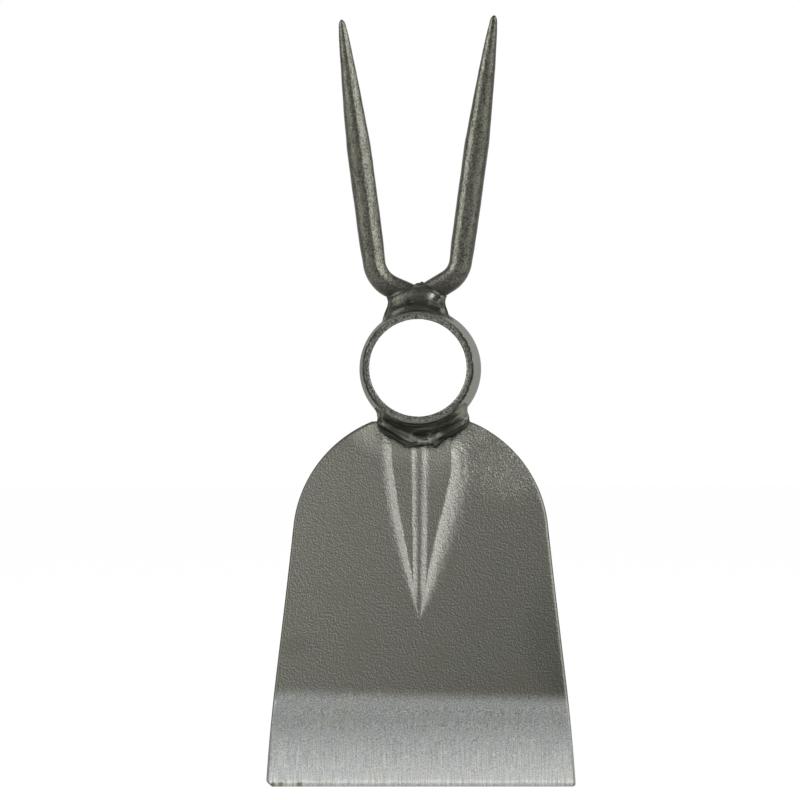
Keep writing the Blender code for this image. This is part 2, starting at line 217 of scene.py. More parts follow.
bladeFinish = {
    "scaleDark": "#454540", "scaleMid": "#5a5a54", "scaleLight": "#787870",
    "grainSize": 0.52 * mm, "grainSlope": 0.36, "wrinkleStep": 0.11 * mm, "wrinkleStretch": 0.85,
    "scaleBrown": "#5c564b", "mottleSize": 14 * mm, "brownFrom": 0.5, "brownTo": 0.72, "brownShare": 0.35,
    "lightCorner": (-48 * mm, -50 * mm), "darkCorner": (45 * mm, -125 * mm), "lightShare": 1.27, "darkShare": 0.69,
    # each smudge has its x, z, reach across and up in millimetres, and its strength; a negative strength lightens, as
    # painted light
    "smudges": ((43, -94, 10, 24, 0.14), (45, -104, 4, 10, 0.1), (-40, -92, 8, 5, 0.1), (5, -32, 7, 8, -0.2)),
    "smudgeCore": 0.7, "smudgeEdge": 1.6,
    "rubbedDark": "#454542", "rubbedLight": "#70706b",
    "haloReach": 34 * mm, "haloCore": 24.5 * mm,
    "haloMiddle": 0.5, "haloMiddleHalf": 3 * mm, "haloSides": 1.15, "haloSidesFrom": 12 * mm,
    "groundStops": ((0.0, "#808280"), (0.25, "#7e807e"), (0.5, "#8f9190"), (1.0, "#afb0ae")),
    "groundTilt": 0.025,               # the ground band is lower on the right
    "groundRagged": 5 * mm, "groundFadeFrom": 6 * mm, "groundFadeTo": 1 * mm,
    "groundDepth": 1.0 * mm, "groundDepthFade": 0.25 * mm,
    "brushSpacing": 0.26 * mm, "brushLength": 11 * mm, "brushContrast": 0.95, "speckSize": 0.34 * mm,
    "linedTop": 0.15, "linedEdge": 0.62,
    "groundCool": (0.975, 0.99, 1.01), "groundWarm": (1.02, 1.01, 0.985), "groundCloud": 9 * mm,
    "honedHeight": 4 * mm,
    "honing": ((0.0, 0.7), (0.17, 0.76), (0.24, 0.9), (0.31, 1.15), (0.43, 1.15), (0.6, 1.0)),
    # each nick has its x and its reach in millimetres
    "nicks": ((-46.7, 1.0), (-44.3, 1.0), (-38.2, 1.3)), "nickCore": 0.4, "nickRagged": 2 * mm,
    "nick": "#66614f", "nickShare": 0.85, "nickSize": 0.9 * mm, "nickStretch": 0.3,
    "nickHeight": 1.1 * mm, "nickFade": 0.4 * mm,
    "leftRim": "#33332f", "rightRim": "#5b5b55", "rimBlend": 5 * mm,
    "pitSize": 0.9 * mm, "pitDepth": 0.5 * mm, "reliefDepth": 0.06 * mm,
    "roughness": 0.37, "edgeTint": "#cfcfc9",
}


# hot-rolled plate, pressed and lacquered: a fine olive-grey speckle with faint brown clouds, under painted light and
# shade, and a bare ground band with upright brush marks, painted brighter towards the cutting edge, partly as painted
# light
def lacqueredMillScale(blade):
    look = bladeFinish
    material, tree, shader = newMetal("lacquered_mill_scale", look)
    place = addNode(tree, "ShaderNodeTexCoord").outputs["Object"]
    lean = math.radians(blade["lean"])
    flat = addNode(tree, "ShaderNodeMapping", {"vector_type": "POINT", "Rotation": (lean, 0, 0)},
                   {"Vector": place}).outputs[0]
    axes = addNode(tree, "ShaderNodeSeparateXYZ", {}, {0: flat})
    # wrinkles in the scale: the slope of a fine noise, so that each has a lit and a shaded side
    sides = []
    for way in (-1, 1):
        moved = addNode(tree, "ShaderNodeMapping",
                        {"Location": (way * look["wrinkleStep"], 0, way * look["wrinkleStep"]),
                         "Scale": (1, 1, look["wrinkleStretch"])}, {"Vector": flat})
        sides.append(addNode(tree, "ShaderNodeTexNoise",
                             {"Scale": 1 / look["grainSize"], "Detail": 2.0, "Roughness": 0.55},
                             {"Vector": moved.outputs[0]}).outputs[0])
    slope = addNode(tree, "ShaderNodeMath", {"operation": "SUBTRACT"}, {0: sides[0], 1: sides[1]}).outputs[0]
    grain = addNode(tree, "ShaderNodeMapRange", {"From Min": -look["grainSlope"], "From Max": look["grainSlope"]},
                    {"Value": slope}).outputs[0]
    mottle = addNode(tree, "ShaderNodeTexNoise", {"Scale": 1 / look["mottleSize"], "Detail": 4.0},
                     {"Vector": flat}).outputs[0]
    speckle = addNode(tree, "ShaderNodeValToRGB", {}, {0: grain},
                      ((0.15, look["scaleDark"]), (0.5, look["scaleMid"]), (0.85, look["scaleLight"]))).outputs[0]
    brownShare = addNode(tree, "ShaderNodeMapRange",
                         {"From Min": look["brownFrom"], "From Max": look["brownTo"], "To Max": look["brownShare"]},
                         {"Value": mottle}).outputs[0]
    scale = addNode(tree, "ShaderNodeMix", {"data_type": "RGBA", 7: hexColor(look["scaleBrown"])},
                    {0: brownShare, 6: speckle}).outputs[2]
    # painted light and shade: the plate is lighter towards the upper left and darker towards the lower right
    light, dark = Vector(look["lightCorner"]), Vector(look["darkCorner"])
    way = (dark - light) / (dark - light).length_squared
    along = addNode(tree, "ShaderNodeVectorMath", {"operation": "DOT_PRODUCT", 1: (way.x, 0, way.y)},
                    {0: flat}).outputs["Value"]
    paintedLightAndTarnish = addNode(tree, "ShaderNodeMapRange",
                   {"From Min": light.dot(way), "From Max": dark.dot(way), "To Min": look["lightShare"],
                    "To Max": look["darkShare"]}, {"Value": along}).outputs[0]
    # tarnished smudges, and a lighter patch below the weld, which is painted light lifting the weld's shade
    for x, z, acrossReach, upReach, strength in look["smudges"]:
        around = addNode(tree, "ShaderNodeMapping",
                         {"vector_type": "TEXTURE", "Location": (x * mm, 0, z * mm),
                          "Scale": (acrossReach * mm, 1, upReach * mm)}, {"Vector": flat}).outputs[0]
        away = addNode(tree, "ShaderNodeVectorMath", {"operation": "LENGTH"}, {0: around}).outputs["Value"]
        away = addNode(tree, "ShaderNodeMath", {"operation": "ADD"}, {0: away, 1: mottle}).outputs[0]
        shade = addNode(tree, "ShaderNodeMapRange",
                        {"interpolation_type": "SMOOTHSTEP", "From Min": look["smudgeCore"],
                         "From Max": look["smudgeEdge"], "To Min": 1 - strength, "To Max": 1.0},
                        {"Value": away}).outputs[0]
        paintedLightAndTarnish = addNode(tree, "ShaderNodeMath", {"operation": "MULTIPLY"}, {0: paintedLightAndTarnish, 1: shade}).outputs[0]
    scale = addNode(tree, "ShaderNodeVectorMath", {"operation": "SCALE"}, {0: scale, "Scale": paintedLightAndTarnish}).outputs[0]
    # the press rubbed the scale to a cooler grey on the crease's walls
    pressed = addNode(tree, "ShaderNodeAttribute", {"attribute_name": "pressed"}).outputs["Fac"]
    rubbed = addNode(tree, "ShaderNodeValToRGB", {}, {0: grain},
                     ((0.15, look["rubbedDark"]), (0.85, look["rubbedLight"]))).outputs[0]
    scale = addNode(tree, "ShaderNodeMix", {"data_type": "RGBA"}, {0: pressed, 6: scale, 7: rubbed}).outputs[2]
    # and painted light lifts the shade round the weld's toe, most of all at its two ends
    acrossPlace = addNode(tree, "ShaderNodeCombineXYZ", {}, {0: axes.outputs["X"], 2: axes.outputs["Z"]}).outputs[0]
    fromAxis = addNode(tree, "ShaderNodeVectorMath", {"operation": "LENGTH"}, {0: acrossPlace}).outputs["Value"]
    near = addNode(tree, "ShaderNodeMapRange", {"From Min": look["haloReach"], "From Max": look["haloCore"]},
                   {"Value": fromAxis}).outputs[0]
    sideways = addNode(tree, "ShaderNodeMath", {"operation": "ABSOLUTE"}, {0: axes.outputs["X"]}).outputs[0]
    strength = addNode(tree, "ShaderNodeMapRange",
                       {"From Min": look["haloMiddleHalf"], "From Max": look["haloSidesFrom"],
                        "To Min": look["haloMiddle"], "To Max": look["haloSides"]}, {"Value": sideways}).outputs[0]
    paintedLightHalo = addNode(tree, "ShaderNodeMath", {"operation": "MULTIPLY_ADD", 2: 1.0}, {0: near, 1: strength}).outputs[0]
    scale = addNode(tree, "ShaderNodeVectorMath", {"operation": "SCALE"}, {0: scale, "Scale": paintedLightHalo}).outputs[0]

    # ground band, from its soft upper boundary down to the cutting edge
    brushPlace = addNode(tree, "ShaderNodeMapping",
                         {"vector_type": "POINT",
                          "Scale": (1 / look["brushSpacing"], 0, 1 / look["brushLength"])},
                         {"Vector": flat}).outputs[0]
    brush = addNode(tree, "ShaderNodeTexNoise", {"Scale": 1.0, "Detail": 3.0, "Roughness": 0.7},
                    {"Vector": brushPlace}).outputs[0]
    lowest = -(blade["topDrop"] + blade["height"])
    top = lowest + blade["groundHeight"]
    level = addNode(tree, "ShaderNodeMath", {"operation": "MULTIPLY_ADD", 1: look["groundTilt"]},
                    {0: axes.outputs["X"], 2: axes.outputs["Z"]}).outputs[0]
    ragged = addNode(tree, "ShaderNodeMath", {"operation": "MULTIPLY_ADD", 1: look["groundRagged"]},
                     {0: brush, 2: level}).outputs[0]
    groundShare = addNode(tree, "ShaderNodeMapRange",
                          {"interpolation_type": "SMOOTHSTEP", "From Min": top + look["groundFadeFrom"],
                           "From Max": top + look["groundFadeTo"]}, {"Value": ragged}).outputs[0]
    # only the user's side was ground
    inFront = addNode(tree, "ShaderNodeMapRange", {"From Min": look["groundDepth"] + look["groundDepthFade"],
                                                   "From Max": look["groundDepth"]},
                      {"Value": axes.outputs["Y"]}).outputs[0]
    groundShare = addNode(tree, "ShaderNodeMath", {"operation": "MULTIPLY"}, {0: groundShare, 1: inFront}).outputs[0]
    downwards = addNode(tree, "ShaderNodeMapRange", {"From Min": top, "From Max": lowest},
                        {"Value": axes.outputs["Z"]}).outputs[0]
    # the bare steel gets brighter downwards: partly its own colour, partly painted light for how the lower band catches
    # the light
    ground = addNode(tree, "ShaderNodeValToRGB", {}, {0: downwards}, look["groundStops"]).outputs[0]
    # the marks run together out of a fine speckle, and get longer downwards
    speck = addNode(tree, "ShaderNodeTexNoise", {"Scale": 1 / look["speckSize"], "Detail": 2.0},
                    {"Vector": flat}).outputs[0]
    lined = addNode(tree, "ShaderNodeMapRange", {"To Min": look["linedTop"], "To Max": look["linedEdge"]},
                    {"Value": downwards}).outputs[0]
    marks = addNode(tree, "ShaderNodeMix", {"data_type": "FLOAT"}, {0: lined, 2: speck, 3: brush}).outputs[0]
    contrast = look["brushContrast"]
    brushShade = addNode(tree, "ShaderNodeMapRange",
                         {"From Min": noiseLow, "From Max": noiseHigh, "To Min": 1 - contrast / 2,
                          "To Max": 1 + contrast / 2}, {"Value": marks}).outputs[0]
    # with faint cooler and warmer clouds
    cloud = addNode(tree, "ShaderNodeTexNoise", {"Scale": 1 / look["groundCloud"], "Detail": 3.0},
                    {"Vector": flat}).outputs[0]
    cloud = addNode(tree, "ShaderNodeMapRange", {"From Min": noiseLow, "From Max": noiseHigh},
                    {"Value": cloud}).outputs[0]
    tint = addNode(tree, "ShaderNodeMix", {"data_type": "VECTOR", 4: look["groundCool"], 5: look["groundWarm"]},
                   {0: cloud}).outputs[1]
    brushed = addNode(tree, "ShaderNodeVectorMath", {"operation": "MULTIPLY"}, {0: ground, 1: tint}).outputs[0]
    # the last strip is honed: a lighter line over a darker one, broken by rusty nicks
    fromEdge = addNode(tree, "ShaderNodeMapRange", {"From Min": lowest, "From Max": lowest + look["honedHeight"]},
                       {"Value": axes.outputs["Z"]}).outputs[0]
    honed = addNode(tree, "ShaderNodeValToRGB", {}, {0: fromEdge}, look["honing"])
    brushShade = addNode(tree, "ShaderNodeMath", {"operation": "MULTIPLY"},
                         {0: brushShade, 1: honed.outputs[0]}).outputs[0]
    brushed = addNode(tree, "ShaderNodeVectorMath", {"operation": "SCALE"},
                      {0: brushed, "Scale": brushShade}).outputs[0]
    color = addNode(tree, "ShaderNodeMix", {"data_type": "RGBA"},
                    {0: groundShare, 6: scale, 7: brushed}).outputs[2]
    nickTop = lowest + look["nickHeight"]
    nickBand = addNode(tree, "ShaderNodeMapRange", {"From Min": nickTop + look["nickFade"], "From Max": nickTop},
                       {"Value": axes.outputs["Z"]}).outputs[0]
    nickPlace = addNode(tree, "ShaderNodeMapping",
                        {"Scale": (1 / look["nickSize"], 0, look["nickStretch"] / look["nickSize"])},
                        {"Vector": flat}).outputs[0]
    nickNoise = addNode(tree, "ShaderNodeTexNoise", {"Scale": 1.0, "Detail": 2.0}, {"Vector": nickPlace}).outputs[0]
    for x, reach in look["nicks"]:
        away = addNode(tree, "ShaderNodeMath", {"operation": "SUBTRACT", 1: x * mm}, {0: axes.outputs["X"]}).outputs[0]
        away = addNode(tree, "ShaderNodeMath", {"operation": "ABSOLUTE"}, {0: away}).outputs[0]
        away = addNode(tree, "ShaderNodeMath", {"operation": "MULTIPLY_ADD", 1: look["nickRagged"]},
                       {0: nickNoise, 2: away}).outputs[0]
        edge, core = (share * reach * mm + look["nickRagged"] / 2 for share in (1.0, look["nickCore"]))
        nickShare = addNode(tree, "ShaderNodeMapRange", {"From Min": edge, "From Max": core,
                                                         "To Max": look["nickShare"]}, {"Value": away}).outputs[0]
        nickShare = addNode(tree, "ShaderNodeMath", {"operation": "MULTIPLY"},
                            {0: nickShare, 1: nickBand}).outputs[0]
        color = addNode(tree, "ShaderNodeMix", {"data_type": "RGBA", 7: hexColor(look["nick"])},
                        {0: nickShare, 6: color}).outputs[2]
    # the sheared rim keeps its dark scale
    rim = addNode(tree, "ShaderNodeAttribute", {"attribute_name": "rim"}).outputs["Fac"]
    onRight = addNode(tree, "ShaderNodeMapRange", {"From Min": -look["rimBlend"], "From Max": look["rimBlend"]},
                      {"Value": axes.outputs["X"]}).outputs[0]
    rimColor = addNode(tree, "ShaderNodeMix", {"data_type": "RGBA", 6: hexColor(look["leftRim"]),
                                               7: hexColor(look["rightRim"])}, {0: onRight}).outputs[2]
    color = addNode(tree, "ShaderNodeMix", {"data_type": "RGBA"}, {0: rim, 6: color, 7: rimColor}).outputs[2]
    tree.links.new(color, shader.inputs["Base Color"])

    relief = addNode(tree, "ShaderNodeMix", {"data_type": "FLOAT"}, {0: groundShare, 2: grain, 3: brush}).outputs[0]
    pitted = addNode(tree, "ShaderNodeAttribute", {"attribute_name": "pitted"}).outputs["Fac"]
    pitGrain = addNode(tree, "ShaderNodeTexNoise", {"Scale": 1 / look["pitSize"], "Detail": 2.0, "Roughness": 0.6},
                       {"Vector": flat}).outputs[0]
    pits = addNode(tree, "ShaderNodeMath", {"operation": "MULTIPLY"}, {0: pitted, 1: pitGrain}).outputs[0]
    deeper = addNode(tree, "ShaderNodeBump", {"Strength": 1.0, "Distance": look["pitDepth"]}, {"Height": pits})
    bump = addNode(tree, "ShaderNodeBump", {"Strength": 1.0, "Distance": look["reliefDepth"]},
                   {"Height": relief, "Normal": deeper.outputs[0]})
    tree.links.new(bump.outputs[0], shader.inputs["Normal"])
    return material


eyeFinish = {
    "side": "#73736e", "sideDark": "#62625d", "grainSize": 0.7 * mm, "grainDepth": 0.03 * mm,
    "ringSpacing": 5.0 * mm, "ringLength": 18 * mm, "ringContrast": 0.28,
    # painted light on the side: its share at the left, at the right, and the reach between
    "leftShare": 0.62, "rightShare": 1.36, "sideReach": 18 * mm,
    "rimDark": "#2c2c28", "rimLight": "#80807a", "rimGrain": 0.4 * mm, "rimLow": 0.38, "rimHigh": 0.68,
    "rimDepth": 0.5 * mm, "rimDepthFade": 0.4 * mm, "rimFrom": 0.05 * mm, "rimTo": 0.2 * mm,
    "tornSize": 1.3 * mm, "tornReach": 1.2 * mm,
    # the groove's dark colour is partly dirt and partly painted shade
    "groove": "#2c2c28", "grooveWidth": 1.4 * mm, "grooveStops": ((0.05, 0.0), (0.2, 1.0), (0.5, 1.0), (0.8, 0.0)),
    "grooveLeft": 0.15, "grooveFrom": 11 * mm, "grooveTo": 15 * mm,
    "weldTintAndShade": "#5e5e58", "weldTintAndShadeShare": 0.92, "weldTintAndShadeFade": 4 * mm, "weldTintAndShadeRagged": 3 * mm,
    "roughness": 0.38, "edgeTint": "#bcbcb6",
}


# drawn tube: a smooth grey side, painted lighter towards the right as painted light, a torn and speckled sheared rim
# with dirt and painted shade in its groove, and dark heat marks by the welds, partly painted shade
def drawnTubeSteel(eye):
    look = eyeFinish
    material, tree, shader = newMetal("drawn_tube_steel", look)
    place = addNode(tree, "ShaderNodeTexCoord").outputs["Object"]
    axes = addNode(tree, "ShaderNodeSeparateXYZ", {}, {0: place})
    grain = addNode(tree, "ShaderNodeTexNoise", {"Scale": 1 / look["grainSize"], "Detail": 2.0},
                    {"Vector": place}).outputs[0]
    side = addNode(tree, "ShaderNodeMix", {"data_type": "RGBA", 6: hexColor(look["sideDark"]),
                                           7: hexColor(look["side"])}, {0: grain}).outputs[2]
    # faint marks of drawing and turning run round it
    across = 1 / look["ringLength"]
    ringPlace = addNode(tree, "ShaderNodeMapping", {"Scale": (across, 1 / look["ringSpacing"], across)},
                        {"Vector": place}).outputs[0]
    rings = addNode(tree, "ShaderNodeTexNoise", {"Scale": 1.0, "Detail": 3.0}, {"Vector": ringPlace}).outputs[0]
    rings = addNode(tree, "ShaderNodeMapRange",
                    {"From Min": noiseLow, "From Max": noiseHigh, "To Min": 1 - look["ringContrast"] / 2,
                     "To Max": 1 + look["ringContrast"] / 2}, {"Value": rings}).outputs[0]
    side = addNode(tree, "ShaderNodeVectorMath", {"operation": "SCALE"}, {0: side, "Scale": rings}).outputs[0]
    # painted light: the side is darker on the left and lighter towards the right
    paintedSideLight = addNode(tree, "ShaderNodeMapRange",
                      {"From Min": -look["sideReach"], "From Max": look["sideReach"], "To Min": look["leftShare"],
                       "To Max": look["rightShare"]}, {"Value": axes.outputs["X"]}).outputs[0]
    side = addNode(tree, "ShaderNodeVectorMath", {"operation": "SCALE"}, {0: side, "Scale": paintedSideLight}).outputs[0]
    rimGrain = addNode(tree, "ShaderNodeTexNoise", {"Scale": 1 / look["rimGrain"], "Detail": 2.0, "Roughness": 0.7},
                       {"Vector": place}).outputs[0]
    rimSpeckle = addNode(tree, "ShaderNodeMapRange", {"From Min": look["rimLow"], "From Max": look["rimHigh"]},
                         {"Value": rimGrain}).outputs[0]
    rim = addNode(tree, "ShaderNodeMix", {"data_type": "RGBA", 6: hexColor(look["rimDark"]),
                                          7: hexColor(look["rimLight"])}, {0: rimSpeckle}).outputs[2]
    # the sheared band is what lies within the rim's inner radius, at either end
    acrossPlace = addNode(tree, "ShaderNodeCombineXYZ", {}, {0: axes.outputs["X"], 2: axes.outputs["Z"]}).outputs[0]
    radius = addNode(tree, "ShaderNodeVectorMath", {"operation": "LENGTH"}, {0: acrossPlace}).outputs["Value"]
    fromMiddle = addNode(tree, "ShaderNodeMath", {"operation": "ABSOLUTE"}, {0: axes.outputs["Y"]}).outputs[0]
    inside = eye["length"] / 2 - look["rimDepth"]
    nearEnd = addNode(tree, "ShaderNodeMapRange", {"From Min": inside - look["rimDepthFade"], "From Max": inside},
                      {"Value": fromMiddle}).outputs[0]
    taper = (eye["rearBore"] - eye["frontBore"]) / eye["length"]
    outerRadius = addNode(tree, "ShaderNodeMath", {"operation": "MULTIPLY_ADD", 1: taper, 2: eyeOutside(0)},
                          {0: axes.outputs["Y"]}).outputs[0]
    fromSide = addNode(tree, "ShaderNodeMath", {"operation": "SUBTRACT"}, {0: outerRadius, 1: radius}).outputs[0]
    # its edge is torn, and so is everything that follows it
    torn = addNode(tree, "ShaderNodeTexNoise", {"Scale": 1 / look["tornSize"], "Detail": 3.0, "Roughness": 0.7},
                   {"Vector": place}).outputs[0]
    fromSide = addNode(tree, "ShaderNodeMath", {"operation": "MULTIPLY_ADD", 1: look["tornReach"]},
                       {0: torn, 2: fromSide}).outputs[0]
    fromSide = addNode(tree, "ShaderNodeMath", {"operation": "SUBTRACT", 1: look["tornReach"] / 2},
                       {0: fromSide}).outputs[0]
    inRim = addNode(tree, "ShaderNodeMapRange", {"From Min": look["rimFrom"], "From Max": look["rimTo"]},
                    {"Value": fromSide}).outputs[0]
    rimShare = addNode(tree, "ShaderNodeMath", {"operation": "MULTIPLY"}, {0: nearEnd, 1: inRim}).outputs[0]
    surface = addNode(tree, "ShaderNodeMix", {"data_type": "RGBA"}, {0: rimShare, 6: side, 7: rim}).outputs[2]
    # and a dark band, partly dirt and partly painted shade in the groove, runs along its outer edge
    intoRim = addNode(tree, "ShaderNodeMapRange", {"From Max": look["grooveWidth"]}, {"Value": fromSide}).outputs[0]
    grooveShadeShare = addNode(tree, "ShaderNodeValToRGB", {}, {0: intoRim}, look["grooveStops"]).outputs[0]
    grooveShadeShare = addNode(tree, "ShaderNodeMath", {"operation": "MULTIPLY"}, {0: nearEnd, 1: grooveShadeShare}).outputs[0]
    # the painted shade fades out towards the welds, which cover the groove
    height = addNode(tree, "ShaderNodeMath", {"operation": "ABSOLUTE"}, {0: axes.outputs["Z"]}).outputs[0]
    kept = addNode(tree, "ShaderNodeMapRange", {"From Min": look["grooveTo"], "From Max": look["grooveFrom"],
                                                "To Min": look["grooveLeft"]}, {"Value": height}).outputs[0]
    grooveShadeShare = addNode(tree, "ShaderNodeMath", {"operation": "MULTIPLY"}, {0: grooveShadeShare, 1: kept}).outputs[0]
    surface = addNode(tree, "ShaderNodeMix", {"data_type": "RGBA", 7: hexColor(look["groove"])},
                      {0: grooveShadeShare, 6: surface}).outputs[2]
    # heat marks spread from the welds at the top and the bottom; the same darkening is also painted shade, for the
    # ring's shaded underside
    wavy = addNode(tree, "ShaderNodeMath", {"operation": "MULTIPLY_ADD", 1: look["weldTintAndShadeRagged"]},
                   {0: grain, 2: height}).outputs[0]
    weldTintAndShadeShare = addNode(tree, "ShaderNodeMapRange",
                        {"interpolation_type": "SMOOTHSTEP", "From Min": eye["weldTintAndShadeHeight"],
                         "From Max": eye["weldTintAndShadeHeight"] + look["weldTintAndShadeFade"], "To Max": look["weldTintAndShadeShare"]},
                        {"Value": wavy}).outputs[0]
    onSide = addNode(tree, "ShaderNodeMath", {"operation": "SUBTRACT", 0: 1.0}, {1: rimShare}).outputs[0]
    weldTintAndShade = addNode(tree, "ShaderNodeMath", {"operation": "MULTIPLY"}, {0: weldTintAndShadeShare, 1: onSide}).outputs[0]
    color = addNode(tree, "ShaderNodeMix", {"data_type": "RGBA", 7: hexColor(look["weldTintAndShade"])},
                    {0: weldTintAndShade, 6: surface}).outputs[2]
    tree.links.new(color, shader.inputs["Base Color"])
    bump = addNode(tree, "ShaderNodeBump", {"Strength": 0.5, "Distance": look["grainDepth"]}, {"Height": grain})
    tree.links.new(bump.outputs[0], shader.inputs["Normal"])
    return material


prongFinish = {
    "scaleDark": "#2b2b27", "scaleLight": "#606058", "scaleLow": 0.37, "scaleHigh": 0.63, "bodyShare": 0.88,
    "grainSize": 0.6 * mm, "grainDepth": 0.17 * mm,
    "streakWidth": 1.2 * mm, "streakLength": 14 * mm, "streakShare": 0.25,
    "weldTintAndShade": "#33332e", "weldTintAndShadeShare": 0.8, "weldTintAndShadeFade": 5 * mm,
    "roughness": 0.3, "edgeTint": "#f4f4ee",
}


# forged round bar: dark grey scale, slightly satin, with a fine speckle drawn out along the bar
def forgedBarScale(prong):
    look = prongFinish
    material, tree, shader = newMetal("forged_bar_scale", look)
    place = addNode(tree, "ShaderNodeTexCoord").outputs["Object"]
    axes = addNode(tree, "ShaderNodeSeparateXYZ", {}, {0: place})
    grain = addNode(tree, "ShaderNodeTexNoise", {"Scale": 1 / look["grainSize"], "Detail": 3.0, "Roughness": 0.65},
                    {"Vector": place}).outputs[0]
    streakPlace = addNode(tree, "ShaderNodeMapping",
                          {"Scale": (1 / look["streakWidth"], 1 / look["streakWidth"], 1 / look["streakLength"])},
                          {"Vector": place}).outputs[0]
    streak = addNode(tree, "ShaderNodeTexNoise", {"Scale": 1.0, "Detail": 2.0}, {"Vector": streakPlace}).outputs[0]
    both = addNode(tree, "ShaderNodeMix", {"data_type": "FLOAT", 0: look["streakShare"]},
                   {2: grain, 3: streak}).outputs[0]
    speckle = addNode(tree, "ShaderNodeMapRange", {"From Min": look["scaleLow"], "From Max": look["scaleHigh"]},
                      {"Value": both}).outputs[0]
    scale = addNode(tree, "ShaderNodeMix", {"data_type": "RGBA", 6: hexColor(look["scaleDark"]),
                                            7: hexColor(look["scaleLight"])}, {0: speckle}).outputs[2]
    # painted highlight: the hammered flat, where it faces the lamp, is painted brighter
    flat = addNode(tree, "ShaderNodeAttribute", {"attribute_name": "flat"}).outputs["Fac"]
    highlightAndWear = addNode(tree, "ShaderNodeMath", {"operation": "ADD", 1: look["bodyShare"]}, {0: flat}).outputs[0]
    scale = addNode(tree, "ShaderNodeVectorMath", {"operation": "SCALE"}, {0: scale, "Scale": highlightAndWear}).outputs[0]
    # heat tint near the feet, which also paints the shade on the bends' undersides
    weldTintAndShadeShare = addNode(tree, "ShaderNodeMapRange",
                        {"interpolation_type": "SMOOTHSTEP", "From Min": prong["weldTintAndShadeTop"],
                         "From Max": prong["weldTintAndShadeTop"] - look["weldTintAndShadeFade"], "To Max": look["weldTintAndShadeShare"]},
                        {"Value": axes.outputs["Z"]}).outputs[0]
    color = addNode(tree, "ShaderNodeMix", {"data_type": "RGBA", 7: hexColor(look["weldTintAndShade"])},
                    {0: weldTintAndShadeShare, 6: scale}).outputs[2]
    tree.links.new(color, shader.inputs["Base Color"])
    bump = addNode(tree, "ShaderNodeBump", {"Strength": 1.0, "Distance": look["grainDepth"]}, {"Height": both})
    tree.links.new(bump.outputs[0], shader.inputs["Normal"])
    return material


weldFinish = {
    "soot": "#343430", "oxide": "#42423c",
    "grainSize": 0.6 * mm, "grainShare": 0.4, "grainDepth": 0.3 * mm, "patchSize": 3.0 * mm,
    "streakWidth": 1.0 * mm, "streakLength": 6.5 * mm, "streakShare": 0.5, "seamRadius": 22 * mm,
    "clear": "#55554f", "clearShare": 0.9, "clearFrom": 13 * mm, "clearTo": 17.5 * mm, "clearRagged": 5 * mm,
    "lightUnderEye": 1.8, "lightUnderEyeFrom": 22.3 * mm, "lightUnderEyeTo": 20.3 * mm,
    "crest": "#62625b", "crestShare": 0.8, "crestFrom": 0.12, "crestTo": 0.55,
    "toeShade": "#22221f", "toeShadeShare": 0.8, "toeShadeTo": -0.5,
    # each painted highlight spot has its x, z and reach in millimetres
    "highlightSpots": ((4.3, 23.9, 1.5), (7.9, 23.4, 1.0), (8.0, 18.9, 1.1), (10.6, 17.4, 1.6), (-11.8, 16.9, 1.3),
                  (0.4, -24.1, 1.1), (1.9, -24.3, 1.2), (3.6, -24.0, 1.0), (15.6, -13.8, 2.6), (15.7, -16.4, 0.9),
                  (-14.0, -15.4, 1.5)),
    "bright": "#85857e", "brightShare": 0.6, "brightRagged": 1.6 * mm, "brightCore": 0.4,
    "roughness": 0.36, "edgeTint": "#d8d8d2",
}
